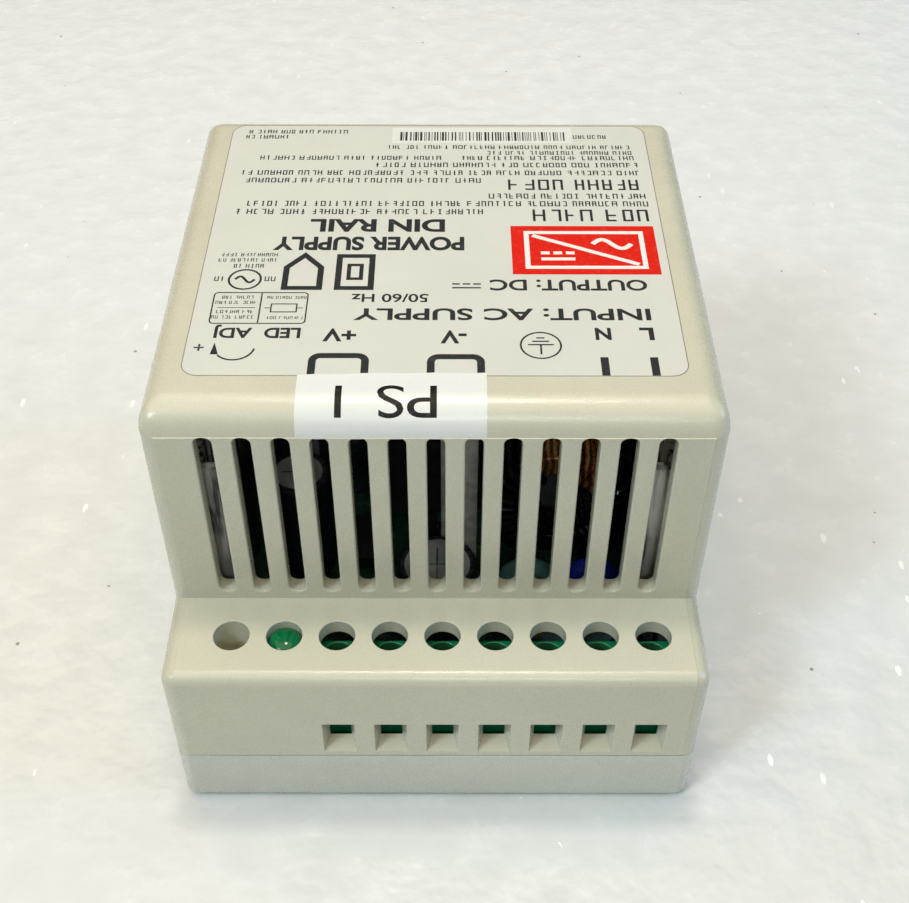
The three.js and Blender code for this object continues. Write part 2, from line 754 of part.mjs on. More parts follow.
function transformerCore() {
  const window = [at(core.front + core.limb + 0.5), at(core.rear - core.limb - 0.5)];
  const through = [core.x0 - 1, core.x1 + 1];
  return box([core.x0, core.x1], [at(core.front), at(core.rear)], [core.bottom, core.top])
    .subtract(box(through, window, [core.bottom + core.limb, core.legBottom]))
    .subtract(box(through, window, [core.legTop, core.top - core.limb]));
}

function transformerWinding() {
  const bulge = 5.5;
  const along = [at(core.front + core.limb + 0.8), at(core.rear - core.limb - 0.8)];
  const bottom = core.bottom + core.limb + gap;
  const top = core.top - core.limb - gap;
  const outside = box([core.x0 - bulge, core.x1 + bulge], along, [bottom, top])
    .add(box([core.x0 - bulge, core.x0 - 1], along, [partBottom, bottom + 1]))
    .add(box([core.x1 + 1, core.x1 + bulge], along, [partBottom, bottom + 1]));
  const legHole = box(
    [core.x0 - gap, core.x1 + gap],
    [along[0] - 1, along[1] + 1],
    [core.legBottom - gap, core.legTop + gap],
  );
  return outside.subtract(legHole);
}

add("transformer_core", transformerCore(), ferrite());
add("transformer_winding", transformerWinding(), material(0xd9b44a, 0.45));

add("bulk_capacitor", canCapacitor(17, 75.5, 9, 42), sleeve());
add("output_capacitor_1", canCapacitor(-22.3, 39.5, 5, 32), sleeve());
add("output_capacitor_2", canCapacitor(-22.3, 51, 5, 32), sleeve());
add("output_capacitor_3", canCapacitor(0, 26.5, 6.3, 24.5), sleeve());
add("y_capacitor", discPart(25, 30, 4.5, 3.4), blueCoat());
add("varistor", discPart(14.5, 29, 5, 4), blueCoat());
add("inrush_thermistor", discPart(27, 61.2, 4.5, 3.4), material(0x2c4a38, 0.5));

const xCapacitor = box([11, 31], [at(50), at(58)], [partBottom, 25]);
const bridge = box([7.5, 20.5], [at(59.5), at(63)], [partBottom, 21]);
const opto = box([-4.5, 0.1], [at(41), at(47)], [partBottom, 14.2]);
const controller = box([-16, -9.6], [at(37), at(46.5)], [partBottom, 14]);
add("x_capacitor", xCapacitor, material(0xcfc46a, 0.5));
add("bridge_rectifier", bridge, blackPlastic());
add("optocoupler", opto, blackPlastic());
add("controller_chip", controller, blackPlastic());

const fuseGeometry = new THREE.CylinderGeometry(2.5, 2.5, 20, 16).rotateZ(Math.PI / 2);
add("fuse", solid(fuseGeometry), material(0xd8d8d0, 0.3), supply, [22, at(20.7), partBottom + 2.7]);

const outputChoke = turned([
  [0, partBottom],
  [6, partBottom],
  [6, partBottom + 1.5],
  [5, partBottom + 1.5],
  [5, partBottom + 14],
  [6, partBottom + 14],
  [6, partBottom + 15.5],
  [0, partBottom + 15.5],
], 20).translate([-23, at(70), 0]);
add("output_choke", outputChoke, ferrite());

// A folded card keeps the mains side apart from the output side.
const card = { x: 6.3, thickness: 0.7, flange: 5.7, front: at(34), rear: at(47), top: 46 };

function insulationBarrier() {
  const upright = [partBottom, card.top];
  return box([card.x - card.thickness, card.x], [card.front, card.rear], upright)
    .add(box([card.x - card.flange, card.x], [card.front, card.front + card.thickness], upright));
}

add("insulation_barrier", insulationBarrier(), material(0xb9a9a4, 0.6));

export default supply;
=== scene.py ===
"""The looks of a DIN rail power supply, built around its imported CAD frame.

Shapes are worked out in millimetres and handed over as pieces in metres. X is to the right when
looking at the terminal face, Y runs from the terminal face to the latch tab, and Z is up.
"""
import random
from math import asin, copysign, cos, degrees, pi, radians, sin

import bmesh
import bpy
from mathutils import Matrix, Vector


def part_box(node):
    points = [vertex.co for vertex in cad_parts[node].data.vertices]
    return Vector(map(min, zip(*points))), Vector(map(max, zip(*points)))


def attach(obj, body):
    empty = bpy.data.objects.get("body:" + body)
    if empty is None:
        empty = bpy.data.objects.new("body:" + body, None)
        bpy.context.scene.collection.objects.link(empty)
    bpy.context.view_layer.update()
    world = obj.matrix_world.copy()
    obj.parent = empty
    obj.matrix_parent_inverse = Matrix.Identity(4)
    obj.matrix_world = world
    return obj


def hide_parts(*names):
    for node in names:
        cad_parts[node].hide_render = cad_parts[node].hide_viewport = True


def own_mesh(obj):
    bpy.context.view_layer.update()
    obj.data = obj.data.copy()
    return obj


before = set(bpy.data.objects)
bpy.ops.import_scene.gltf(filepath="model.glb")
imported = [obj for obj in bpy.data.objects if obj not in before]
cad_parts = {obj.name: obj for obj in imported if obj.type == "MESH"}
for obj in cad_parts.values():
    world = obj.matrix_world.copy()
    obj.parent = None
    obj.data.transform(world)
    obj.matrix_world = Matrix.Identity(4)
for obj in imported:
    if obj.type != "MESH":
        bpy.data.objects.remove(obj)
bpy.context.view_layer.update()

# ------------ sizes, in millimetres

MM = 0.001


class Box:
    """A CAD node's box at rest: its sides x0 to z1 and its middle x, y, z."""

    def __init__(self, node):
        low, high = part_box(node)
        self.x0, self.y0, self.z0 = (value / MM for value in low)
        self.x1, self.y1, self.z1 = (value / MM for value in high)
        self.x = (self.x0 + self.x1) / 2
        self.y = (self.y0 + self.y1) / 2
        self.z = (self.z0 + self.z1) / 2


COVER = Box("housing_cover")
FRONT = COVER.y0
REAR = COVER.y1
HALF_WIDTH = COVER.x1
HEIGHT = COVER.z1
SEAM = COVER.z0
WALL = 2.4
INSIDE_X = HALF_WIDTH - WALL
INSIDE_FRONT = FRONT + WALL
INSIDE_REAR = REAR - WALL
GAP = 0.3

SHELF_TOP = 30.25
VENT_FACE = FRONT + 14.8
LID_RADIUS = 4.8
LID_SIDE_RADIUS = 3.5
CORNER_RADIUS = 2.0
SEAM_RADIUS = 0.3
SHELF_RADIUS = 1.9

PANEL_HALF = 37.0  # the raised front panel that carries the vents, the shelf and the wire entries
PANEL_TOP = 63.0
PANEL_STEP = 0.13

VENT_COUNT = 13
VENT_PITCH = 5.124
VENT_WIDTH = 2.45
VENT_OFFSET = 0.15
VENT_BOTTOM = 31.8
VENT_TOP = 62.9
VENT_CORNER = 1.1

HOLE_COUNT = 9
FIRST_POLE = 2
HOLE_RADIUS = 2.6
HOLE_Y = FRONT + 7.9
POLE_PITCH = 7.62
SCREWS = [Box(f"terminal_screw_{number}") for number in range(1, HOLE_COUNT - FIRST_POLE + 1)]
HOLE_X = [SCREWS[0].x + (index - FIRST_POLE) * POLE_PITCH for index in range(HOLE_COUNT)]

RAIL_FRONT = FRONT + 26.5
CHANNEL_FRONT = RAIL_FRONT + 1.7
CHANNEL_REAR = RAIL_FRONT + 35.3
SEAT_HEIGHT = 6.5
LIP_HEIGHT = 5.3
LEDGE = 2.6  # height of the ledges that the latch's plate slides on

SNAP_Y = (FRONT + 22, REAR - 20)
SNAP_HALF = 3.2

LATCH = Box("din_latch")
BOARD = Box("circuit_board")
BOARD_SCREWS = {end: Box(f"board_screw_{end}") for end in ("front", "rear")}
LABEL = Box("rating_label")
STICKER = Box("asset_sticker")
HEATSINK_SHEET = 1.5
BLOCK = Box("terminal_block")
PART_BOTTOM = BOARD.z1 + GAP

# ------------ mesh code

PLACE = {
    "X": lambda u, v, w: (w, u, v),
    "Y": lambda u, v, w: (u, w, v),
    "Z": lambda u, v, w: (u, v, w),
}


def level(outline, axis, place):
    """An outline of (u, v) points set across an axis at a place on it."""
    return [PLACE[axis](u, v, place) for u, v in outline]


def arc(u, v, radius, start, end, steps=6):
    """Points on an arc about (u, v). Angles are in degrees."""
    angles = [radians(start + (end - start) * step / steps) for step in range(steps + 1)]
    return [(u + radius * cos(a), v + radius * sin(a)) for a in angles]


def circle(u, v, radius, sides):
    return arc(u, v, radius, 0, 360, sides)[:-1]


def rounded_rectangle(u0, v0, u1, v1, radius, steps=6):
    corners = ((u1 - radius, v0 + radius), (u1 - radius, v1 - radius),
               (u0 + radius, v1 - radius), (u0 + radius, v0 + radius))
    points = []
    for turn, (u, v) in enumerate(corners):
        points += arc(u, v, radius, 90 * turn - 90, 90 * turn, steps)
    return points


def loft(rings, loop=False):
    """A closed mesh through rings of points that all have the same count."""
    body = bmesh.new()
    rows = [[body.verts.new(point) for point in ring] for ring in rings]
    pairs = list(zip(rows, rows[1:]))
    if loop:
        pairs.append((rows[-1], rows[0]))
    else:
        body.faces.new(rows[0])
        body.faces.new(rows[-1])
    for one, two in pairs:
        for i in range(len(one)):
            j = (i + 1) % len(one)
            body.faces.new((one[i], one[j], two[j], two[i]))
    bmesh.ops.recalc_face_normals(body, faces=body.faces)
    return body


def prism(outline, axis, low, high):
    """An outline extruded along an axis."""
    return loft([level(outline, axis, place) for place in (low, high)])


def block(x0, x1, y0, y1, z0, z1):
    return prism([(x0, y0), (x1, y0), (x1, y1), (x0, y1)], "Z", z0, z1)


def turned(profile, u, v, axis="Z", sides=40):
    """A solid turned about a line along an axis: profile points are (radius, place on the axis)."""
    return loft([level(circle(u, v, radius, sides), axis, place) for radius, place in profile])


def tube(path, radius, sides):
    """A round bar along points, turned as little as possible from one to the next."""
    points = [Vector(point) for point in path]
    rings = []
    side = None
    for before, point, after in zip(points[:1] + points, points, points[1:] + points[-1:]):
        along = (after - before).normalized()
        if side is None:
            side = along.orthogonal()
        side = (side - along * side.dot(along)).normalized()
        other = along.cross(side)
        rings.append([point + side * u + other * v for u, v in circle(0, 0, radius, sides)])
    return loft(rings)


def offsets(radius, level, *points):
    """Profile points given as steps out from a radius and up from a level."""
    return [(radius + out, level + up) for out, up in points]


def thread(core, crest, foot, step, count):
    """Profile points that go to and fro between a thread's core and its crests."""
    return [(crest if index % 2 else core, foot + index * step) for index in range(count)]


def slot_in(box, half_x, half_y, depth):
    """A cutter for a straight slot in the middle of a part's top."""
    return block(box.x - half_x, box.x + half_x, box.y - half_y, box.y + half_y, box.z1 - depth, box.z1 + 1)


def coil(turns, steps, point):
    """Points along a winding: point takes the share of the winding done and the angle turned."""
    shares = [step / (turns * steps) for step in range(turns * steps + 1)]
    return [point(share, share * turns * 2 * pi) for share in shares]


def mesh_of(body, name="scratch"):
    """Turns a working body into a mesh, and frees the body."""
    mesh = bpy.data.meshes.new(name)
    body.to_mesh(mesh)
    body.free()
    return mesh


def placed(data, name="scratch"):
    """An object of the scene that shows a mesh, light, camera or text."""
    made = bpy.data.objects.new(name, data)
    bpy.context.scene.collection.objects.link(made)
    return made


def join(parts):
    whole = bmesh.new()
    for part in parts:
        mesh = mesh_of(part)
        whole.from_mesh(mesh)
        bpy.data.meshes.remove(mesh)
    return whole


def applied(made, *helpers):
    """The mesh of a scratch object after its modifiers. The scratch objects are removed."""
    graph = bpy.context.evaluated_depsgraph_get()
    mesh = bpy.data.meshes.new_from_object(made.evaluated_get(graph))
    body = bmesh.new()
    body.from_mesh(mesh)
    bpy.data.meshes.remove(mesh)
    for used in (made, *helpers):
        data = used.data
        bpy.data.objects.remove(used)
        if isinstance(data, bpy.types.Mesh):
            bpy.data.meshes.remove(data)
    return body


def boolean(body, tools, operation="DIFFERENCE"):
    cutter = join(tools)
    for part in (body, cutter):
        bmesh.ops.triangulate(part, faces=part.faces)
    target, tool = placed(mesh_of(body)), placed(mesh_of(cutter))
    cut = target.modifiers.new("cut", "BOOLEAN")
    cut.operation = operation
    cut.object = tool
    cut.solver = "EXACT"
    return applied(target, tool)


def carved(body, *tools):
    """The body with tools cut out of it, one after another."""
    for tool in tools:
        body = boolean(body, [tool])
    return body


def beveled(body, width, segments, **settings):
    made = placed(mesh_of(body))
    bevel = made.modifiers.new("round", "BEVEL")
    bevel.width = width
    bevel.segments = segments
    for name, value in settings.items():
        setattr(bevel, name, value)
    return applied(made)


def rounded(body, radius_of, segments):
    """Rounds edges: radius_of takes an edge's two ends and gives its radius, or 0 to leave it."""
    radii = [radius_of(*(vert.co for vert in edge.verts)) for edge in body.edges]
    widest = max(radii)
    layers = body.edges.layers.float
    layer = layers.get("bevel_weight_edge") or layers.new("bevel_weight_edge")
    for edge, radius in zip(body.edges, radii):
        edge[layer] = radius / widest
    return beveled(body, widest, segments, limit_method="WEIGHT", use_clamp_overlap=False)


def softened(body, radius, segments=3):
    """Rounds every sharp edge by a small radius."""
    return beveled(body, radius, segments, limit_method="ANGLE", angle_limit=radians(30))


def lip(radius, steps=3):
    """(depth, growth) pairs of a cut whose mouth is rounded by radius."""
    angles = [radians(90 * step / steps) for step in range(steps + 1)]
    return [(radius * (1 - cos(a)), radius * (1 - sin(a))) for a in angles]


def piece(name, body, look, replaces=(), rides="housing"):
    """Hands a mesh over as a piece of the object: in metres, smooth, with its look and its CAD body."""
    bmesh.ops.transform(body, matrix=Matrix.Scale(MM, 4), verts=body.verts)
    mesh = mesh_of(body, name)
    mesh.polygons.foreach_set("use_smooth", [True] * len(mesh.polygons))
    mesh.set_sharp_from_angle(angle=radians(32))
    mesh.materials.append(look if isinstance(look, bpy.types.Material) else LOOKS[look])
    made = placed(mesh, name)
    weighted = made.modifiers.new("weighted_normals", "WEIGHTED_NORMAL")
    weighted.keep_sharp = True
    weighted.weight = 100
    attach(made, rides)
    if replaces:
        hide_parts(*replaces)
    return made


def carried(node, look, slot, radius, segments):
    """A CAD node that stays: rounded edges and a look of its own."""
    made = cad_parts[node]
    made.data.materials.clear()
    made.data.materials.append(LOOKS[look])
    weld = made.modifiers.new("weld", "WELD")
    weld.merge_threshold = 0.001 * MM
    bevel = made.modifiers.new("round", "BEVEL")
    bevel.limit_method = "ANGLE"
    bevel.angle_limit = radians(35)
    bevel.width = radius * MM
    bevel.segments = segments
    bevel.harden_normals = True


# ------------ materials


class Look:
    """A node material: a Principled shader fed by procedural nodes in the piece's own coordinates."""

    def __init__(self, name, colour, roughness, metallic=0.0, **sockets):
        self.material = bpy.data.materials.new(name)
        self.material.use_nodes = True
        self.tree = self.material.node_tree
        self.shader = self.tree.nodes["Principled BSDF"]
        self.set(self.shader, "Base Color", (*colour, 1))
        self.set(self.shader, "Roughness", roughness)
        self.set(self.shader, "Metallic", metallic)
        for socket, value in sockets.items():
            self.set(self.shader, socket.replace("_", " "), value)
        self.place = self.tree.nodes.new("ShaderNodeTexCoord").outputs["Object"]

    def set(self, node, socket, value):
        """Gives a socket a value, or a link where the value is another node's output."""
        if isinstance(value, bpy.types.NodeSocket):
            self.tree.links.new(value, node.inputs[socket])
        else:
            node.inputs[socket].default_value = value

    def node(self, kind, sockets=(), **settings):
        made = self.tree.nodes.new(kind)
        for name, value in settings.items():
            setattr(made, name, value)
        for socket, value in dict(sockets).items():
            self.set(made, socket, value)
        return made

    def math(self, operation, one, two=0.0):
        return self.node("ShaderNodeMath", {0: one, 1: two}, operation=operation).outputs[0]

    def apart(self, value, target):
        return self.math("ABSOLUTE", self.math("SUBTRACT", value, target))

    def stretched(self, scale):
        return self.node("ShaderNodeMapping", {"Vector": self.place, "Scale": scale}).outputs[0]

    def noise(self, size, detail=2.0, place=None, roughness=0.5):
        """Noise whose grains are about size millimetres across."""
        sockets = {"Vector": place or self.place, "Scale": 1 / (size * MM), "Detail": detail,
                   "Roughness": roughness}
        return self.node("ShaderNodeTexNoise", sockets).outputs[0]

    def bands(self, axis, scale, distortion, detail):
        sockets = {"Vector": self.place, "Scale": scale, "Distortion": distortion, "Detail": detail}
        return self.node("ShaderNodeTexWave", sockets, bands_direction=axis).outputs["Fac"]

    def between(self, value, low, high, out_low=0.0, out_high=1.0):
        sockets = {"Value": value, "From Min": low, "From Max": high, "To Min": out_low, "To Max": out_high}
        return self.node("ShaderNodeMapRange", sockets).outputs[0]

    def spread(self, noise, low=0.0, high=1.0):
        """The middle of a noise's range, stretched over low to high."""
        return self.between(noise, 0.3, 0.7, low, high)

    def mix(self, share, one, two):
        made = self.node("ShaderNodeMix", data_type="RGBA")
        self.set(made, "Factor", share)
        for socket, value in ((6, one), (7, two)):
            if isinstance(value, bpy.types.NodeSocket):
                self.tree.links.new(value, made.inputs[socket])
            else:
                made.inputs[socket].default_value = (*value, 1)
        return made.outputs[2]

    def coordinate(self, axis):
        parts = self.node("ShaderNodeSeparateXYZ", {"Vector": self.place})
        return parts.outputs[axis]

    def shades(self, share, colour, dark, light):
        """A colour between two tints of itself."""
        return self.mix(share, tinted(colour, dark), tinted(colour, light))

    def bump(self, height, depth, socket="Normal"):
        """Bump whose full height is depth millimetres."""
        made = self.node("ShaderNodeBump", {"Height": height, "Distance": depth * MM, "Strength": 1.0})
        self.set(self.shader, socket, made.outputs[0])

    def done(self, colour, roughness, height=None, depth=0.0):
        """Feeds the shader a colour, a roughness and bumps depth millimetres high, and gives the material."""
        self.set(self.shader, "Base Color", colour)
        self.set(self.shader, "Roughness", roughness)
        if height:
            self.bump(height, depth)
        return self.material


def tinted(colour, share):
    return tuple(min(1.0, part * share) for part in colour)


def specks(look, colour, size, spacing, threshold, tone=(0.12, 0.11, 0.08), strength=0.45, place=None):
    """The colour with a few small specks on it, of dirt unless another tone is given."""
    cells = look.node("ShaderNodeTexVoronoi", {"Vector": place or look.place, "Scale": 1 / (spacing * MM)})
    dots = look.math("LESS_THAN", cells.outputs["Distance"], size / spacing)
    some = look.math("GREATER_THAN", look.noise(spacing * 2.3), threshold)
    share = look.math("MULTIPLY", look.math("MULTIPLY", dots, some), strength)
    return look.mix(share, colour, tone)


def moulded(name, colour, roughness=0.27, grain=0.2, depth=0.019, dirt=True):
    """Spark-eroded moulded plastic: fine grain, slight colour drift and a few dark specks."""
    look = Look(name, colour, roughness, Specular_IOR_Level=0.5, Coat_Weight=0.3, Coat_Roughness=0.12)
    drift = look.spread(look.noise(18, 3))
    fine = look.noise(grain, 2, roughness=0.6)
    base = look.shades(drift, colour, 0.965, 1.02)
    base = look.mix(look.between(fine, 0.25, 0.75, 0.0, 0.06), base, tinted(colour, 0.78))
    if dirt:
        base = specks(look, base, 0.11, 3.1, 0.56)
    uneven = look.math("ADD", look.spread(look.noise(5, 4), -0.02, 0.025),
                       look.spread(fine, roughness - 0.06, roughness + 0.06))
    grains = look.math("ADD", fine, look.math("MULTIPLY", look.noise(grain * 3.5, 1), 0.6))
    material = look.done(base, uneven, grains, depth)
    look.bump(grains, depth * 1.6, "Coat Normal")
    return material


def glossy(name, colour, roughness, depth=0.01, **sockets):
    """Smooth moulded or dipped plastic with faint waviness."""
    look = Look(name, colour, roughness, **sockets)
    wave = look.noise(1.6, 2)
    return look.done(look.shades(look.spread(wave), colour, 0.85, 1.12),
                     look.spread(look.noise(0.64, 3), roughness - 0.05, roughness + 0.08), wave, depth)


def metal(name, colour, roughness, stretch=(1, 1, 1), metallic=1.0):
    """Plated or rolled metal with fine marks drawn out along one direction."""
    look = Look(name, colour, roughness, metallic)
    marks = look.noise(0.5, 4, look.stretched(stretch))
    stain = look.noise(4.5, 3)
    return look.done(look.mix(look.between(stain, 0.35, 0.7), colour, tinted(colour, 0.72)),
                     look.math("ADD", look.spread(marks, roughness - 0.08, roughness + 0.1),
                               look.spread(stain, -0.04, 0.06)), marks, 0.004)


def streaked(name, bright, dark):
    """Drawn sheet metal: bright and dark streaks of painted reflection up the plate, with painted shade that
    dims it towards its foot.
    """
    look = Look(name, bright, 0.3)
    streaks = look.noise(1.3, 3, look.stretched((1, 1, 0.08)), 0.6)
    broad = look.noise(5.5, 2, look.stretched((1, 1, 0.6)))
    # Painted reflection: bright streaks along the drawing marks.
    painted_reflection = look.between(look.math("ADD", streaks, look.math("MULTIPLY", broad, 0.7)), 0.72, 0.98)
    # Painted shade: the colour dims towards the plate's foot.
    foot = look.between(look.coordinate(2), 26 * MM, 44 * MM, 0.25, 1.0)
    return look.done(look.mix(look.math("MULTIPLY", painted_reflection, foot), dark, bright),
                     look.spread(streaks, 0.24, 0.4), streaks, 0.05)


def printed(name, colour):
    """Printing ink: slightly uneven and a little worn."""
    look = Look(name, colour, 0.5, Specular_IOR_Level=0.25)
    fade = look.between(look.noise(0.8, 4), 0.55, 0.85, 0.0, 0.35)
    worn = tinted([part + 0.1 for part in colour], 1.3)
    return look.done(look.mix(fade, colour, worn), look.spread(look.noise(0.3), 0.42, 0.58))


def film(name, colour):
    """Printed label film: satin, with a soft fibre under it and faint scuffs."""
    look = Look(name, colour, 0.48, Specular_IOR_Level=0.35)
    cloud = look.spread(look.noise(9, 4))
    base = look.shades(cloud, colour, 0.97, 1.015)
    return look.done(specks(look, base, 0.09, 5.0, 0.6),
                     look.spread(look.noise(2.4, 4), 0.42, 0.56), look.noise(0.6, 3), 0.003)


def paper(name, colour, roughness=0.62):
    """Nearly smooth paper, with fibres drawn out along the sticker."""
    look = Look(name, colour, roughness)
    fibre = look.noise(0.35, 4, look.stretched((1, 0.4, 1)))
    return look.done(look.shades(look.spread(fibre), colour, 0.985, 1.01),
                     look.spread(fibre, roughness - 0.01, roughness + 0.01), fibre, 0.0005)


def sleeved(name, colour, stripe, axis_x, axis_y):
    """A capacitor's shrink sleeve with its lighter polarity stripe on one side."""
    look = Look(name, colour, 0.28, Coat_Weight=0.2)
    across = look.math("SUBTRACT", look.coordinate(0), axis_x * MM)
    along = look.math("SUBTRACT", look.coordinate(1), axis_y * MM)
    turn = look.math("ARCTAN2", along, across)
    on_stripe = look.math("LESS_THAN", look.math("ABSOLUTE", look.math("ADD", turn, radians(75))), 0.3)
    minus = look.math("FRACT", look.math("DIVIDE", look.coordinate(2), 5 * MM))
    plain = look.math("GREATER_THAN", look.apart(minus, 0.5), 0.12)
    wave = look.noise(1.5, 2)
    base = look.shades(look.spread(wave), colour, 0.8, 1.25)
    return look.done(look.mix(look.math("MULTIPLY", on_stripe, plain), base, stripe),
                     look.spread(wave, 0.24, 0.36), wave, 0.02)


def solder_mask(name):
    """A circuit board: green mask over copper tracks that show through as lighter, raised strips."""
    look = Look(name, (0.03, 0.16, 0.08), 0.3, Coat_Weight=0.3)
    warp = look.noise(6, 1)
    lines = look.node("ShaderNodeTexVoronoi", {"Vector": look.stretched((1, 1, 0)), "Scale": 1 / (3.2 * MM)},
                      distance="CHEBYCHEV", feature="F2")
    tracks = look.math("GREATER_THAN", lines.outputs["Distance"], 0.62)
    base = look.mix(tracks, (0.018, 0.10, 0.05), (0.04, 0.2, 0.09))
    return look.done(look.mix(look.spread(warp, 0, 0.3), base, (0.06, 0.13, 0.07)),
                     look.spread(look.noise(1.0), 0.24, 0.4), tracks, 0.03)


def wound(name, colour, dipped=False):
    """Enamelled copper wire; when dipped is set, painted shade makes it almost black below the choke's crown
    and beside it, so bare copper shows only on the crown.
    """
    crown_x, crown_half, crown_low = (size * MM for size in (21.2, 6, 29.5))
    look = Look(name, colour, 0.3, 0.45, Coat_Weight=0.4)
    patches = look.noise(2.2, 3)
    base = look.shades(look.spread(patches), colour, 0.75, 1.3)
    if dipped:
        ragged = look.spread(patches, -0.8 * MM, 0.8 * MM)
        strands = look.bands("X", 260, 3.0, 2)
        base = look.mix(look.between(strands, 0.35, 0.75), tinted(colour, 0.22), base)
        # Painted shade: almost black below the crown's height and beside the crown.
        low = look.math("LESS_THAN", look.math("ADD", look.coordinate(2), ragged), crown_low)
        beside = look.math("GREATER_THAN", look.apart(look.coordinate(0), crown_x), crown_half)
        painted_shade_mask = look.math("MAXIMUM", low, beside)
        base = look.mix(painted_shade_mask, base, (0.012, 0.009, 0.008))
    return look.done(base,
                     look.spread(look.noise(0.5), 0.18, 0.34), patches, 0.01)


def sintered(name, colour, roughness=0.55):
    """Pressed grains, with a few lighter and darker chips."""
    look = Look(name, colour, roughness)
    grains = look.noise(0.35, 4)
    chips = look.noise(2.5, 3)
    return look.done(look.shades(look.between(chips, 0.35, 0.7), colour, 0.7, 1.4),
                     look.spread(grains, roughness - 0.1, roughness + 0.12),
                     look.math("ADD", grains, chips), 0.03)


def taped(name, colour):
    """Polyester tape wound in layers, whose edges show as fine bands."""
    look = Look(name, colour, 0.28, Coat_Weight=0.3)
    bands = look.bands("Z", 330, 1.5, 1)
    return look.done(look.mix(look.between(bands, 0.2, 0.9), tinted(colour, 0.82), colour),
                     look.spread(look.noise(2), 0.22, 0.38), bands, 0.02)


COVER_COLOUR = (0.64, 0.62, 0.49)
BASE_COLOUR = (0.65, 0.66, 0.57)
LOOKS = {
    "cover": moulded("cover_plastic", COVER_COLOUR),
    "base": moulded("base_plastic", BASE_COLOUR, grain=0.26),
    "green": glossy("green_polyamide", (0.006, 0.25, 0.10), 0.16),
    "black": moulded("black_plastic", (0.018, 0.018, 0.02), 0.42, 0.3, 0.02, dirt=False),
    "film": film("label_film", (0.665, 0.665, 0.61)),
    "paper": paper("sticker_paper", (0.79, 0.81, 0.78), 0.3),
    "strip": paper("serial_strip", (0.74, 0.74, 0.70)),
    "ink": printed("black_ink", (0.022, 0.026, 0.026)),
    "tape_ink": printed("tape_ink", (0.004, 0.004, 0.004)),
    "red": printed("red_ink", (0.70, 0.012, 0.003)),
    # Label edge line: a painted shadow along the film's cut edge.
    "painted_edge_shadow": printed("painted_edge_shadow", (0.20, 0.17, 0.12)),
    "white": printed("white_ink", (0.82, 0.81, 0.78)),
    "zinc": metal("zinc_plate", (0.62, 0.62, 0.6), 0.3),
    # Clamp screws: zinc painted near black as painted shade for the bottom of their wells.
    "zinc_in_painted_shade": metal("zinc_in_painted_shade", (0.12, 0.12, 0.12), 0.3),
    "clamp": metal("clamp_zinc_plate", (0.55, 0.55, 0.54), 0.36),
    "contact": metal("tinned_contact", (0.66, 0.6, 0.44), 0.32),
    "tinned": metal("tinned_wire", (0.7, 0.7, 0.69), 0.25),
    "spring": metal("spring_wire", (0.42, 0.42, 0.43), 0.3),
    # Heatsink sheets: their bright streaks are painted reflection and their darker feet are painted shade.
    "aluminium": streaked("rolled_aluminium", (1.0, 1.0, 0.98), (0.1, 0.1, 0.095)),
    "can": metal("can_top", (0.72, 0.75, 0.78), 0.42, (0.2, 1, 1), metallic=0.5),
    "brass": metal("fuse_cap", (0.66, 0.65, 0.62), 0.28),
    "ferrite": sintered("ferrite", (0.035, 0.036, 0.038)),
    "varnished": glossy("varnished_wire", (0.012, 0.010, 0.009), 0.3),
    "copper": wound("enamelled_copper", (0.55, 0.19, 0.07)),
    # Winding copper with painted shade on all but the choke's crown.
    "copper_with_painted_shade": wound("copper_with_painted_shade", (1.0, 0.38, 0.13), dipped=True),
    "tape": taped("dark_tape", (0.02, 0.023, 0.03)),
    "board": solder_mask("solder_mask"),
    "blue": glossy("blue_epoxy", (0.03, 0.06, 0.9), 0.25),
    "teal": glossy("teal_epoxy", (0.17, 0.42, 0.44), 0.3),
    "dark_epoxy": glossy("thermistor_epoxy", (0.03, 0.07, 0.045), 0.35),
    "box": glossy("film_box", (0.16, 0.17, 0.19), 0.35),
    "ceramic": glossy("fuse_ceramic", (0.30, 0.42, 0.42), 0.3),
    "card": sintered("barrier_card", (0.9, 0.8, 0.74), 0.6),
    "rotor": moulded("rotor_plastic", (0.62, 0.5, 0.28), 0.4, 0.2, 0.008, dirt=False),
    "trimmer": moulded("trimmer_plastic", (0.20, 0.125, 0.06), 0.45, 0.2, 0.01, dirt=False),
    "chip": moulded("chip_resin", (0.016, 0.017, 0.019), 0.5, 0.15, 0.015, dirt=False),
    "led": glossy("green_led_epoxy", (0.001, 0.15, 0.05), 0.08, 0.004, Specular_IOR_Level=0.35),
}

# ------------ cover


def vent_cutters(face, inward):
    """Rounded vent slots through a wall: face is its outer side, and inward is 1 or -1 along Y."""
    cutters = []
    for index in range(VENT_COUNT):
        x = VENT_OFFSET + (index - (VENT_COUNT - 1) / 2) * VENT_PITCH

        def ring(depth, growth):
            half = VENT_WIDTH / 2
            outline = rounded_rectangle(x - half - growth, VENT_BOTTOM - growth, x + half + growth,
                                        VENT_TOP + growth, VENT_CORNER + growth, 7)
            return level(outline, "Y", face + inward * depth)

        mouth = lip(0.3)
        rings = [ring(-1, mouth[0][1]), *(ring(*pair) for pair in mouth), ring(WALL + 1, 0)]
        cutters.append(loft(rings))
    return cutters


def hole_cutter(x, bottom):
    """A driver hole through the shelf, with a softly rounded mouth."""
    mouth = lip(0.16)
    profile = [(HOLE_RADIUS + mouth[0][1], SHELF_TOP + 1)]
    profile += [(HOLE_RADIUS + growth, SHELF_TOP - depth) for depth, growth in mouth]
    profile.append((HOLE_RADIUS, bottom))
    return turned(profile, x, HOLE_Y, sides=56)


FUNNEL = {"half": 2.375, "neck_half": 1.6, "bottom": 12.4, "neck_bottom": 13.5, "top": 19.35}


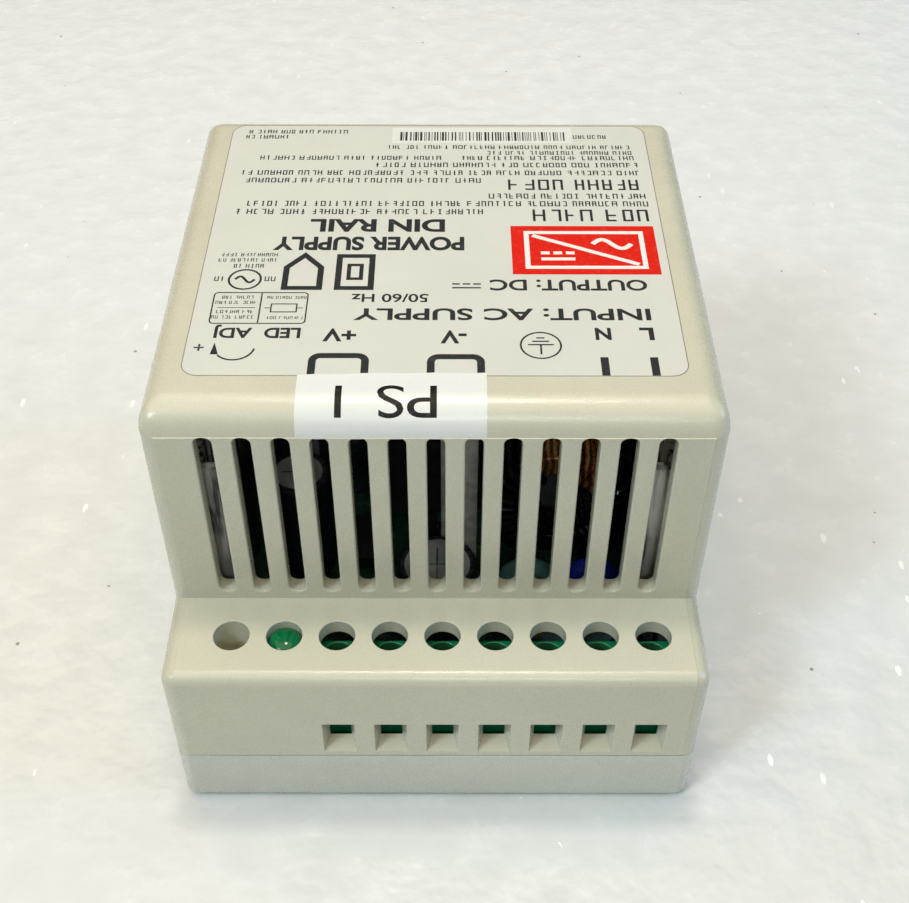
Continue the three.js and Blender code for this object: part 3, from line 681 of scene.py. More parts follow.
def funnel_cutter(x):
    """A wire entry: wide at the terminal face and narrow at the wall's inside."""
    def ring(share, y, growth=0.0):
        half = FUNNEL["half"] + (FUNNEL["neck_half"] - FUNNEL["half"]) * share + growth
        low = FUNNEL["bottom"] + (FUNNEL["neck_bottom"] - FUNNEL["bottom"]) * share - growth
        outline = rounded_rectangle(x - half, low, x + half, FUNNEL["top"] + growth, 0.12 + growth, 3)
        return level(outline, "Y", y)

    mouth = lip(0.1, 2)
    rings = [ring(0, FRONT - 1, mouth[0][1])]
    rings += [ring(depth / WALL, FRONT + depth, growth) for depth, growth in mouth]
    rings += [ring(1, INSIDE_FRONT), ring(1, INSIDE_FRONT + 1)]
    return loft(rings)


def near(value, target, reach=0.01):
    return abs(value - target) < reach


def rim_rounded(body, rims):
    """Rounds the flat outlines of a body: rims maps an outline's height to its radius."""
    def radius(one, two):
        return next((rim for z, rim in rims.items() if near(one.z, z) and near(two.z, z)), 0.0)
    return rounded(body, radius, 4)


def cover_body():
    """The cover's outside: an L-shaped prism with every edge rounded."""
    front, vent, shelf = FRONT + PANEL_STEP, VENT_FACE + PANEL_STEP, SHELF_TOP - PANEL_STEP
    outline = [(front, SEAM), (REAR, SEAM), (REAR, HEIGHT), (vent, HEIGHT), (vent, shelf), (front, shelf)]
    body = prism(outline, "X", -HALF_WIDTH, HALF_WIDTH)

    def radius(one, two):
        y, z = (one.y + two.y) / 2, (one.z + two.z) / 2
        across = near(one.x, two.x)
        if near(z, SEAM):
            return 0.0
        if near(z, HEIGHT):
            return LID_SIDE_RADIUS if across else LID_RADIUS
        if near(one.z, shelf) and near(two.z, shelf):
            if across:
                return CORNER_RADIUS
            return SHELF_RADIUS if near(y, front) else 0.0
        return CORNER_RADIUS
    return rim_rounded(rounded(body, radius, 8), {SEAM: SEAM_RADIUS})


def panel_outline(inset):
    """The panel seen from its side, with its outer faces moved in by inset."""
    front, shelf, vent = FRONT + inset, SHELF_TOP - inset, VENT_FACE + inset
    bottom, top = SEAM + 0.3 + inset, PANEL_TOP - inset
    low, edge, high = 0.22, SHELF_RADIUS - inset, 0.1
    depth = 1.0
    outline = arc(front + low, bottom + low, low, 270, 180, 4)
    outline += arc(front + edge, shelf - edge, edge, 180, 90, 10)
    outline += [(vent, shelf)] + arc(vent + high, top - high, high, 180, 90, 4)
    return outline + [(VENT_FACE + depth, top), (VENT_FACE + depth, SHELF_TOP - depth),
                      (FRONT + depth, SHELF_TOP - depth), (FRONT + depth, bottom)]


def panel_body():
    """The raised front panel, one folded sheet that runs down the vents, over the shelf and to the seam."""
    soft = 0.1
    turns = [radians(30 * step) for step in range(4)]
    ends = [(PANEL_HALF - soft + soft * sin(turn), soft - soft * cos(turn)) for turn in turns]
    sections = [(-x, inset) for x, inset in reversed(ends)] + ends
    return loft([level(panel_outline(inset), "X", x) for x, inset in sections])


def cover_shell():
    """The whole cover: hollowed, and cut for the vents, driver holes, wire entries and snap windows."""
    below_panel = block(-PANEL_HALF, PANEL_HALF, FRONT - 1, INSIDE_FRONT + 1, SEAM - 1, SEAM + 0.31)
    body = boolean(carved(cover_body(), below_panel), [panel_body()], "UNION")
    under = SHELF_TOP - WALL
    hollow = [(INSIDE_FRONT, SEAM - 1), (INSIDE_REAR, SEAM - 1), (INSIDE_REAR, HEIGHT - WALL),
              (VENT_FACE + WALL, HEIGHT - WALL), (VENT_FACE + WALL, under), (INSIDE_FRONT, under)]
    body = boolean(body, [prism(hollow, "X", -INSIDE_X, INSIDE_X)])
    guide_radius, guide_bottom = 3.6, 20
    guide = turned([(guide_radius, guide_bottom), (guide_radius, under + 0.5)], HOLE_X[0], HOLE_Y)
    body = boolean(body, [guide], "UNION")
    cutters = vent_cutters(VENT_FACE, 1) + vent_cutters(REAR, -1)
    cutters += [hole_cutter(x, under - 1 if index else guide_bottom - 1) for index, x in enumerate(HOLE_X)]
    cutters += [funnel_cutter(x) for x in HOLE_X[FIRST_POLE:]]
    for y in SNAP_Y:
        window = rounded_rectangle(y - SNAP_HALF - GAP, 15, y + SNAP_HALF + GAP, 17.6, 0.4, 4)
        cutters.append(prism(window, "X", INSIDE_X - 1, HALF_WIDTH + 1))
        cutters.append(prism(window, "X", -HALF_WIDTH - 1, 1 - INSIDE_X))
    return boolean(body, cutters)


piece("cover_shell", cover_shell(), "cover", ["housing_cover"])

# ------------ base


def snap_hook(side, y):
    """A sprung hook that grows from the base's side wall and catches in the cover's window."""
    tongue = INSIDE_X - GAP
    face = HALF_WIDTH - 0.8
    root = INSIDE_X + 0.5
    outline = [(tongue - 1.2, 7.6), (root, 7.6), (root, 10.5), (tongue, 10.5), (tongue, 15.3), (face, 15.3),
               (face, 15.9), (tongue, 17.3), (tongue, 18.2), (tongue - 1.2, 18.2)]
    return prism([(side * u, v) for u, v in outline], "Y", y - SNAP_HALF, y + SNAP_HALF)


def base_shell():
    """The base: a tray that the board lies in, over the rail channel and the latch's groove."""
    rim = SEAM - 0.02
    body = block(-HALF_WIDTH, HALF_WIDTH, FRONT, REAR, 0, rim)
    body = rounded(body, lambda one, two: 0.0 if near(one.z, two.z) else CORNER_RADIUS, 8)
    body = rim_rounded(body, {rim: SEAM_RADIUS, 0: 1.2})
    # The inside, and deeper pockets: one before the rail channel and one on each side of the latch.
    floor_top, pocket_floor = BOARD.z0 - 0.5, 2
    side, pocket_top = INSIDE_X - 0.01, floor_top + 0.5
    bay, behind, rear = LATCH.x1 + 3, CHANNEL_REAR + 2.5, INSIDE_REAR - 0.01
    body = boolean(body, [
        block(-INSIDE_X, INSIDE_X, INSIDE_FRONT, INSIDE_REAR, floor_top, SEAM + 1),
        block(-side, side, INSIDE_FRONT + 0.01, RAIL_FRONT - 2.7, pocket_floor, pocket_top),
        block(bay, side, behind, rear, pocket_floor, pocket_top),
        block(-side, -bay, behind, rear, pocket_floor, pocket_top),
    ])
    # The tongue grows from the wall's inside and closes the seam from within.
    section = [(-0.5, 9.6), (-0.5, 10.6), (GAP, 10.85), (GAP, SEAM + 0.9), (GAP + 0.25, SEAM + 1.15),
               (GAP + 0.6, SEAM + 1.15), (GAP + 0.6, 10.75), (0.2, 10.3)]

    def ring(inset, z):
        outline = rounded_rectangle(-INSIDE_X + inset, INSIDE_FRONT + inset,
                                    INSIDE_X - inset, INSIDE_REAR - inset, 1.5 - inset)
        return level(outline, "Z", z)
    tongue = loft([ring(*pair) for pair in section], loop=True)
    hooks = [snap_hook(side, y) for side in (1, -1) for y in SNAP_Y]
    # The rail channel with softened edges, undercut on the terminal side to make the fixed hook.
    soft = 0.4
    channel = [(CHANNEL_FRONT - soft, -1), (CHANNEL_REAR + soft, -1)]
    channel += arc(CHANNEL_REAR + soft, soft, soft, 270, 180, 3)
    channel += [(CHANNEL_REAR, SEAT_HEIGHT), (RAIL_FRONT - 0.2, SEAT_HEIGHT), (RAIL_FRONT - 0.2, LIP_HEIGHT)]
    channel += arc(CHANNEL_FRONT - soft, LIP_HEIGHT - soft, soft, 90, 0, 3)
    channel += arc(CHANNEL_FRONT - soft, soft, soft, 0, -90, 3)
    body = boolean(body, [prism(channel, "X", -HALF_WIDTH - 1, HALF_WIDTH + 1)])
    # A T-shaped groove for the latch, with the rib that its spring pushes on.
    wide, narrow, ledge, top = LATCH.x1 + GAP, 8.6, LEDGE - GAP, LATCH.z1 + GAP
    groove = [(-narrow, -1), (narrow, -1), (narrow, ledge), (wide, ledge), (wide, top),
              (-wide, top), (-wide, ledge), (-narrow, ledge)]
    body = boolean(body, [prism(groove, "Y", CHANNEL_REAR - 1, REAR + 1)])
    rib = softened(block(-2.2, 2.2, FRONT + 82.5, FRONT + 84, LEDGE + GAP, LATCH.z1 + 1), 0.15)
    boss, bore, boss_top = 3, 1.3, BOARD.z0 - GAP
    profile = [(boss + 0.4, 1), (boss, 2.4), (boss, boss_top), (bore, boss_top - 0.01), (bore, 3.5)]
    bosses = [turned(profile, screw.x, screw.y) for screw in BOARD_SCREWS.values()]
    return join([body, tongue, *hooks, rib, *bosses])


piece("base_shell", base_shell(), "base", ["base_housing"])

# ------------ rail latch and its spring

LATCH_TIP = RAIL_FRONT + 33.5


def latch_body():
    """The rail foot: a sliding plate with a keel, a slot for a screwdriver and a bevelled jaw."""
    plate = prism([(LATCH_TIP + 1.2, LEDGE), (LATCH.y1, LEDGE), (LATCH.y1, LATCH.z1), (LATCH_TIP, LATCH.z1),
                   (LATCH_TIP, LEDGE + 1.2)], "X", LATCH.x0, LATCH.x1)
    keel = block(-8.3, 8.3, CHANNEL_REAR + 0.4, LATCH.y1, LATCH.z0, LEDGE + 0.5)
    body = boolean(plate, [keel], "UNION")
    spring_space = block(-2.5, 2.5, FRONT + 68, FRONT + 84.3, LEDGE, LATCH.z1 + 1)
    screwdriver_slot = prism(rounded_rectangle(-3, REAR + 0.9, 3, REAR + 2.1, 0.5), "Z", -1, LATCH.z1 + 1)
    body = boolean(body, [spring_space, screwdriver_slot])
    # Grip grooves across the tab's underside.
    grooves = [prism(circle(REAR - 6 + 1.6 * step, LATCH.z0, 0.35, 12), "X", -9, 9) for step in range(4)]
    return softened(boolean(body, grooves), 0.22)


piece("rail_latch", latch_body(), "black", ["din_latch"], rides="latch")

SPRING = Box("latch_spring")


def latch_coil():
    """A compression spring with closed end turns."""
    wire, radius = 0.22, 0.9
    closed, rise = 0.11, 0.44  # share of the length that each closed end takes up, and its height
    first, last = SPRING.y0 + wire, SPRING.y1 - wire

    def point(share, angle):
        eased = min(1.0, max(0.0, (share - closed) / (1 - 2 * closed)))
        closing = rise * (min(share, closed) / closed - 1 + max(0.0, share - 1 + closed) / closed)
        y = first + rise + (last - first - 2 * rise) * eased + closing
        return radius * cos(angle), y, SPRING.z + radius * sin(angle)
    return tube(coil(7, 20, point), wire, 10)


spring = piece("latch_coil_spring", latch_coil(), "spring", ["latch_spring"])
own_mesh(spring)

# ------------ label and sticker

FILM_TOP = HEIGHT + 0.05
INK_TOP = FILM_TOP + 0.014
LABEL_FRONT = LABEL.y0


def label_film():
    """The label's film, with a thin bevel round its top."""
    outline = rounded_rectangle(LABEL.x0, LABEL.y0, LABEL.x1, LABEL.y1, 2.5, 10)
    inset = rounded_rectangle(LABEL.x0 + 0.03, LABEL.y0 + 0.03, LABEL.x1 - 0.03, LABEL.y1 - 0.03, 2.47, 10)
    return loft([level(outline, "Z", HEIGHT + 0.004), level(outline, "Z", FILM_TOP - 0.02),
                 level(inset, "Z", FILM_TOP)])


piece("rating_film", label_film(), "film", ["rating_label"])


def lettering(text, bold=0.0):
    """Text as a flat solid: u along the line from 0, v up from the baseline, w from 0 to 1."""
    curve = bpy.data.curves.new("lettering", "FONT")
    curve.body = text
    curve.extrude = 0.5
    curve.offset = bold
    curve.resolution_u = 5
    body = applied(placed(curve))
    bpy.data.curves.remove(curve)
    low = min(vert.co.x for vert in body.verts)
    for vert in body.verts:
        vert.co.x -= low
        vert.co.z += 0.5
    return body


CAP = 0.729  # height of a capital letter of the built-in font at size 1


def fitted(text, cap, width, bold):
    """Lettering with a given capital height and line width."""
    body = lettering(text, bold)
    reach = max(vert.co.x for vert in body.verts)
    for vert in body.verts:
        vert.co.x *= width / reach
        vert.co.y *= cap / CAP
    return body


def label_text(text, right, front, cap, width, bold=0.0):
    """A line read from the latch side: it starts at its right end, and its capitals point to the front."""
    body = fitted(text, cap, width, bold)
    for vert in body.verts:
        u, v, w = vert.co
        vert.co = (right - u, FRONT + front + cap - v, FILM_TOP + w * (INK_TOP - FILM_TOP))
    return body


def ribbon(points, width, closed=False, low=FILM_TOP, high=INK_TOP):
    """A printed line of constant width through points given as (x, distance from the terminal face)."""
    points = [Vector((x, FRONT + distance)) for x, distance in points]
    ways = [(after - point).normalized() for point, after in zip(points, points[1:] + points[:1])]
    if not closed:
        ways[-1] = ways[-2]
    rings = []
    for i, (point, second) in enumerate(zip(points, ways)):
        first = ways[i - 1] if i or closed else second
        mean = (first + second).normalized()
        side = Vector((-mean.y, mean.x)) * (width / 2 / max(0.4, mean.dot(first)))
        left, right = point + side, point - side
        rings.append([(*left, low), (*right, low), (*right, high), (*left, high)])
    return loft(rings, closed)


def patch(outline, low=FILM_TOP, high=INK_TOP):
    return prism([(x, FRONT + distance) for x, distance in outline], "Z", low, high)


def bar(x0, x1, d0, d1, low=FILM_TOP, high=INK_TOP):
    return patch([(x0, d0), (x1, d0), (x1, d1), (x0, d1)], low, high)


def sine(x, distance, step, height, count):
    """Points of one wave, the sign of alternating current."""
    return [(x + step * i, distance + height * sin(i / count * 2 * pi)) for i in range(count + 1)]


def bracket(x0, x1, front, rear):
    """A printed bracket over a pair of terminals, open to the front."""
    line = 1.05
    half = line / 2
    bend = 1.1
    left, right, back = x0 + half, x1 - half, rear - half
    points = [(left, front)] + arc(left + bend, back - bend, bend, 180, 90, 5)
    points += arc(right - bend, back - bend, bend, 90, 0, 5) + [(right, front)]
    return ribbon(points, line)


def terminal_marks():
    """The marks that name the terminals, the lamp and the trimmer."""
    edge = LABEL_FRONT - FRONT + 0.15
    marks = [bracket(-1.1, 6.7, edge, 27.1), bracket(-17.1, -8.9, edge, 27.3),
             bar(22.3, 23.4, edge, 26.5), bar(29.0, 30.1, edge, 26.5)]
    earth_x, earth_y = 14.4, 29.0
    marks.append(ribbon(circle(earth_x, earth_y, 2.75, 40), 0.26, closed=True))
    marks.append(bar(earth_x - 0.13, earth_x + 0.13, earth_y - 1.9, earth_y + 0.1))
    for step, half in enumerate((1.75, 1.15, 0.55)):
        marks.append(bar(earth_x - half, earth_x + half, earth_y + 0.72 * step, earth_y + 0.26 + 0.72 * step))
    marks += [label_text("L", 30.1, 30.1, 2.6, 1.95, 0.04), label_text("N", 24.2, 30.1, 2.55, 2.2, 0.035),
              label_text("-V", 4.3, 29.3, 2.75, 3.6, 0.03), label_text("+V", -10.9, 29.7, 2.75, 4.6, 0.03),
              label_text("LED", -18.6, 30.4, 2.2, 5.0, 0.03), label_text("ADJ", -25.3, 30.4, 2.2, 5.2, 0.025)]
    # A turning arrow for the trimmer, and a plus sign at the end that raises the voltage.
    sweep = arc(-27.35, 28.6, 2.75, -8, -140, 14)
    marks.append(ribbon(sweep, 0.28))
    marks.append(patch([(-30.5, 27.0), (-29.4, 27.0), (-30.15, 29.5)]))
    marks.append(bar(-32.85, -31.5, 28.3, 28.58))
    marks += [bar(-32.3, -32.02, 27.75, 28.25), bar(-32.3, -32.02, 28.63, 29.15)]
    return marks


def rating_marks():
    """Plain words for what goes in and what comes out."""
    return [label_text("INPUT: AC SUPPLY", 30.1, 34.35, 2.6, 41.6, 0.022),
            label_text("50/60 Hz", -1.1, 38.4, 1.9, 10.9, 0.016),
            label_text("OUTPUT: DC", 30.3, 41.1, 2.55, 22.6, 0.022),
            bar(2.3, 6.4, 41.65, 41.95), *(bar(x, x + 1.1, 42.55, 42.85) for x in (5.3, 3.8, 2.3)),
            label_text("POWER SUPPLY", 4.1, 50.8, 3.3, 28.4, 0.035),
            label_text("DIN RAIL", 1.2, 55.5, 3.2, 20.4, 0.035)]


def frame_line(x0, x1, d0, d1, width, low=FILM_TOP, high=INK_TOP):
    return ribbon([(x0, d0), (x1, d0), (x1, d1), (x0, d1)], width, True, low, high)


def symbol_marks():
    """General symbols: indoor use, double insulation, alternating current and a fuse."""
    house = [(-21.8, 41.7), (-21.8, 46.6), (-19.3, 49.6), (-16.8, 46.6), (-16.8, 41.7)]
    marks = [ribbon(house, 0.9, closed=True), frame_line(-14.2, -9.4, 41.7, 49.4, 0.9),
             frame_line(-12.7, -10.9, 43.9, 47.2, 0.6)]
    marks.append(ribbon(circle(-27.6, 43.7, 2.3, 36), 0.32, closed=True))
    marks.append(ribbon(sine(-29.0, 43.7, 0.14, 0.7, 20), 0.4))
    marks += [ribbon(rounded_rectangle(-31.5, 33.65, -18.2, 40.6, 0.6, 4), 0.2, closed=True),
              bar(-24.85, -24.65, 33.8, 40.45), bar(-30.8, -25.4, 37.1, 37.22),
              frame_line(-23.2, -19.6, 36.2, 38.0, 0.2), bar(-24.1, -23.35, 37.02, 37.18),
              bar(-19.45, -18.7, 37.02, 37.18)]
    return marks


def greeked(right, left, front, cap, seed, weight=0.15):
    """A line of marks that stand in for small print, with no letters in it."""
    draw = random.Random(seed)
    marks = []
    stem = cap * weight
    x = right
    while x - cap > left:
        for _ in range(draw.randint(3, 9)):
            wide = cap * draw.uniform(0.5, 0.66)
            if x - wide < left:
                break
            for place in draw.choice(((0.0, 1.0), (0.0, 1.0), (0.0,), (0.0, 1.0), (0.5,), (1.0,))):
                edge = x - place * (wide - stem)
                marks.append(bar(edge - stem, edge, front, front + cap))
            for place in draw.choice(((0.5,), (0.0, 1.0), (0.0,), (1.0,), (0.0, 0.5), (0.5, 1.0))):
                edge = front + place * (cap - stem)
                marks.append(bar(x - wide + stem, x - stem, edge, edge + stem))
            x -= wide + cap * 0.2
        x -= cap * 0.45
    return marks


SMALL_PRINT = (  # right end, left end, distance from the terminal face, height
    (7.0, -31.5, 60.2, 1.35), (32.6, -31.0, 62.4, 1.35), (32.4, 7.4, 64.5, 1.35),
    (6.8, -31.2, 68.9, 1.3), (32.2, -31.4, 71.1, 1.3), (32.0, -10.2, 73.4, 1.3),
    (31.6, 2.8, 75.5, 1.2), (0.5, -30.4, 75.5, 1.2), (31.4, 7.6, 77.1, 1.1), (31.2, -8.4, 78.8, 1.1),
    (27.6, 21.8, 82.0, 1.1), (-15.0, -32.0, 83.5, 1.1), (-24.6, -32.0, 81.9, 1.1),
    (-25.4, -31.6, 34.7, 0.7), (-25.6, -31.0, 35.9, 0.7), (-25.4, -31.4, 38.0, 0.7),
    (-25.9, -30.6, 39.2, 0.7), (-18.6, -23.8, 34.6, 0.6), (-18.4, -24.0, 39.2, 0.6),
    (-30.6, -32.4, 43.3, 1.1), (-23.2, -24.8, 43.3, 1.1),
    (-25.2, -30.2, 46.5, 0.9), (-23.4, -32.0, 48.0, 0.8), (-23.4, -31.8, 49.3, 0.8),
)


def small_print():
    """Lines of strokes where a rating label has its notes, and two taller lines for headings."""
    marks = []
    for seed, (right, left, front, cap) in enumerate(SMALL_PRINT):
        marks += greeked(right, left, front, cap, seed)
    marks += greeked(32.3, 10.2, 58.4, 3.1, 70, 0.13) + greeked(31.6, 9.5, 66.9, 2.9, 73, 0.13)
    return marks


def bar_code():
    """Bars of random widths that stand for no number."""
    draw = random.Random(5)
    marks = []
    x = 20.8
    while x > -6.3:
        wide = draw.choice((0.12, 0.12, 0.24, 0.36))
        marks.append(bar(x - wide, x, 81.3, 84.0, INK_TOP, INK_TOP + 0.008))
        x -= wide + draw.choice((0.16, 0.2, 0.3, 0.42))
    return marks


def emblem_marks():
    """A white converter symbol: alternating current in, direct current out."""
    low, high = INK_TOP, INK_TOP + 0.01
    x0, x1, d0, d1 = 13.4, 30.6, 46.7, 55.4
    marks = [frame_line(x0, x1, d0, d1, 0.75, low, high),
             ribbon([(x0 + 0.9, d1 - 0.75), (x1 - 0.9, d0 + 0.75)], 0.75, False, low, high)]
    for start, end, line in ((2, 7, 1.7), (2, 3.3, 3.2), (3.85, 5.15, 3.2), (5.7, 7, 3.2)):
        marks.append(bar(x0 + start, x0 + end, d0 + line, d0 + line + 0.7, low, high))
    marks.append(ribbon(sine(x1 - 7.4, d1 - 2.9, 0.24, 1.1, 24), 0.8, False, low, high))
    return marks


def label_outline():
    """The film's cut edge, with a thin brown line of painted shadow along it."""
    inset = 0.07
    corners = rounded_rectangle(LABEL.x0 + inset, LABEL.y0 - FRONT + inset,
                                LABEL.x1 - inset, LABEL.y1 - FRONT - inset, 2.4, 8)
    return ribbon(corners, 0.11, True, FILM_TOP - 0.004, FILM_TOP + 0.006)


piece("label_edge_shadow", label_outline(), "painted_edge_shadow")
piece("label_print", join(terminal_marks() + rating_marks() + symbol_marks() + small_print()), "ink")
piece("label_emblem", bar(11.1, 32.7, 45.0, 57.1), "red")
piece("label_emblem_symbol", join(emblem_marks()), "white")
piece("serial_strip", bar(-7.6, 22.0, 80.6, 85.3), "strip")
piece("serial_bars", join(bar_code()), "ink")

# The sticker lies on the label's front edge, bends over the lid's front edge and ends at the vents.
STICKER_THICK = 0.07
OVERLAP = 0.55


def sticker_path(rear, lift):
    """Points from the sticker's rear edge to its lower end, on its underside or lifted off it."""
    bend_y, bend_z = VENT_FACE + PANEL_STEP + LID_RADIUS, HEIGHT - LID_RADIUS
    on_film = FILM_TOP + 0.004 + lift
    on_lid = HEIGHT + 0.006 + lift
    points = [(rear, on_film), (LABEL_FRONT + 0.06, on_film), (LABEL_FRONT - 0.3, on_lid + 0.01),
              (LABEL_FRONT - 0.7, on_lid)]
    radius = on_lid - bend_z
    end = 180 - degrees(asin((STICKER.z0 - bend_z) / radius))
    return points + arc(bend_y, bend_z, radius, 90, end, 14)


def asset_sticker():
    """The sticker's sheet, whose rear edge is cut slightly unevenly and slants at one end."""
    draw = random.Random(3)
    columns = 36
    rings = []
    for column in range(columns + 1):
        x = STICKER.x0 + (STICKER.x1 - STICKER.x0) * column / columns
        slant = 0.4 * max(0.0, 1 - column / columns / 0.45)
        rear = LABEL_FRONT + OVERLAP - slant + draw.uniform(-0.04, 0.04) + 0.06 * sin(column * 0.55)
        outline = sticker_path(rear, 0) + sticker_path(rear, STICKER_THICK)[::-1]
        rings.append(level(outline, "X", x))
    return loft(rings)


def sticker_text():
    """Dark letters that follow the sticker round the lid's edge."""
    body = fitted("PS 1", 5.3, 13.4, 0.0)
    for step in range(1, 24):
        whole = [*body.verts, *body.edges, *body.faces]
        bmesh.ops.bisect_plane(body, geom=whole, plane_co=(0, step * 0.25, 0), plane_no=(0, 1, 0))
    centre_y, centre_z = VENT_FACE + PANEL_STEP + LID_RADIUS, HEIGHT - LID_RADIUS
    start = 0.9  # flat length between the baseline and the bend
    for vert in body.verts:
        u, v, w = vert.co
        radius = HEIGHT + 0.006 + STICKER_THICK - centre_z + 0.001 + 0.012 * w
        turn = max(0.0, v - start) / radius
        down = pi / 2 + turn
        y = centre_y + radius * cos(down) + max(0.0, start - v)
        vert.co = (0.3 - u, y, centre_z + radius * sin(down))
    return body


piece("asset_label", asset_sticker(), "paper", ["asset_sticker"])
piece("asset_label_print", sticker_text(), "tape_ink")

# ------------ terminal block


def terminal_body():
    """The block's moulding, with a chamber, a wire entry and a screw well for each pole."""
    outline = [(BLOCK.y0, PART_BOTTOM), (BLOCK.y1, PART_BOTTOM), (BLOCK.y1, 19.6), (FRONT + 10.7, 22.4),
               (FRONT + 10.7, BLOCK.z1), (BLOCK.y0, BLOCK.z1)]
    body = softened(prism(outline, "X", BLOCK.x0, BLOCK.x1), 0.35)
    chamber_front, chamber_rear, chamber_top = FRONT + 4.8, FRONT + 10.3, 21.6
    bore, well, mouth, well_bottom = 1.6, 2.3, 0.25, 22.2
    slot_rear, slot_top = FRONT + 12.3, 18.7  # the L-shaped slot that holds the contact bar
    cutters = []
    wells = []
    for x in HOLE_X[FIRST_POLE:]:
        cutters.append(block(x - 2.9, x + 2.9, chamber_front, chamber_rear, 13.5, chamber_top))
        wells.append(block(x - 1.7, x + 1.7, BLOCK.y0 - 1, chamber_front + 1, 14.4, 17.9))
        profile = [(bore, chamber_top - 1), (bore, well_bottom), (well, well_bottom + 0.01)]
        profile += [(well + growth, BLOCK.z1 - depth) for depth, growth in reversed(lip(mouth))]
        profile.append((well + mouth, BLOCK.z1 + 1))
        wells.append(turned(profile, x, HOLE_Y, sides=44))
        wells.append(block(x - 1.9, x + 1.9, chamber_rear - 1, slot_rear, 17.5, slot_top))
        wells.append(block(x - 1.9, x + 1.9, slot_rear - 1.2, slot_rear, PART_BOTTOM - 1, slot_top))
    return carved(boolean(body, cutters), *wells)


piece("terminal_strip", terminal_body(), "green", ["terminal_block"])


def clamp_screw(box):
    """A clamp screw: a threaded shank and a slotted and crossed cheese head."""
    neck, step = 22.4, 0.25
    profile = offsets(0, box.z0, (0.9, 0), (1.15, 0.3))
    profile += thread(1.08, 1.3, box.z0 + 0.4, step, int((neck - box.z0 - 0.3) / step))
    profile += offsets(0, neck, (1.2, 0.05), (1.85, 0.1), (2.0, 0.25))
    profile += offsets(0, box.z1, (2.0, -0.4), (1.93, -0.18), (1.7, -0.03), (1.5, 0))
    return carved(turned(profile, box.x, box.y), slot_in(box, 3, 0.32, 0.75), slot_in(box, 0.32, 1.15, 0.65))


def wire_clamp(box):
    """A rising cage, open at both ends, with serrations on its lower jaw."""
    window = rounded_rectangle(box.x - 2.0, box.z0 + 0.8, box.x + 2.0, box.z1 - 0.8, 0.3, 3)
    outline = rounded_rectangle(box.x0, box.z0, box.x1, box.z1, 0.7, 4)
    body = boolean(prism(outline, "Y", box.y0, box.y1), [prism(window, "Y", box.y0 - 1, box.y1 + 1)])
    hole = turned([(1.6, box.z1 - 2), (1.6, box.z1 + 1)], box.x, HOLE_Y)
    grooves = [prism([(y - 0.2, box.z0 + 0.82), (y, box.z0 + 0.55), (y + 0.2, box.z0 + 0.82)], "X",
                     box.x - 1.7, box.x + 1.7) for y in (box.y0 + 1.2 + 0.6 * step for step in range(5))]
    return softened(boolean(carved(body, hole), grooves), 0.08, 2)


for number, screw in enumerate(SCREWS, 1):
    # The clamp screws take zinc darkened with painted shade.
    piece(f"clamp_screw_{number}", clamp_screw(screw), "zinc_in_painted_shade",
          [f"terminal_screw_{number}"], rides=f"screw_{number}")
    piece(f"clamp_cage_{number}", wire_clamp(Box(f"wire_clamp_{number}")), "clamp",
          [f"wire_clamp_{number}"], rides=f"clamp_{number}")
    carried(f"terminal_contact_{number}", "contact", "contact_brass", 0.1, 2)

# ------------ lamp and trimmer

LED = Box("status_led")


def led_body():
    """A 5 mm lamp: a flanged cylinder with a low dome."""
    radius, rise = 2.4, 1.15
    shoulder = LED.z1 - rise
    profile = offsets(0, LED.z0, (2.6, 0), (2.75, 0.15), (2.75, 0.85), (2.6, 1), (2.45, 1.02))
    profile += [(radius * across, shoulder + rise * up) for across, up in arc(0, 0, 1, 0, 88, 16)]
    return turned(profile, LED.x, LED.y, sides=48)


piece("led_lens", led_body(), "led", ["status_led"])

ROTOR = Box("trimmer_rotor")


def rotor_body():
    """The trimmer's dial: a screwdriver slot with an arrow point in a stepped disc."""
    profile = [(0.9, ROTOR.z0), (0.9, 16.49), (2.0, 16.5), (2.2, 16.65)]
    profile += offsets(0, ROTOR.z1, (2.2, -0.25), (2.05, -0.06), (1.9, 0))
    arrow = [(ROTOR.x + 1.9, ROTOR.y), (ROTOR.x + 1.0, ROTOR.y + 0.9), (ROTOR.x + 1.0, ROTOR.y - 0.9)]
    point = prism(arrow, "Z", ROTOR.z1 - 0.35, ROTOR.z1 + 1)
    return carved(turned(profile, ROTOR.x, ROTOR.y, sides=44), slot_in(ROTOR, 3, 0.35, 0.6), point)


piece("trimmer_dial", rotor_body(), "rotor", ["trimmer_rotor"], rides="trimmer")

# ------------ circuit board and its parts

def board_screw(box):
    """A pan-head screw that holds the board down on its boss."""
    step = 0.3
    profile = offsets(0, box.z0, (0.3, 0), (0.8, 0.6))
    profile += thread(0.8, 1.0, box.z0 + 0.8, step, int((PART_BOTTOM - box.z0 - 0.9) / step))
    profile += offsets(0, PART_BOTTOM, (1.0, -0.01), (2.4, 0), (2.5, 0.1), (2.5, 0.5))
    profile += offsets(0, box.z1, (2.2, -0.35), (1.5, -0.08), (0.8, 0))
    return carved(turned(profile, box.x, box.y), slot_in(box, 1.5, 0.3, 0.8), slot_in(box, 0.3, 1.5, 0.75))


for end, screw in BOARD_SCREWS.items():
    piece(f"pcb_screw_{end}", board_screw(screw), "zinc", [f"board_screw_{end}"])


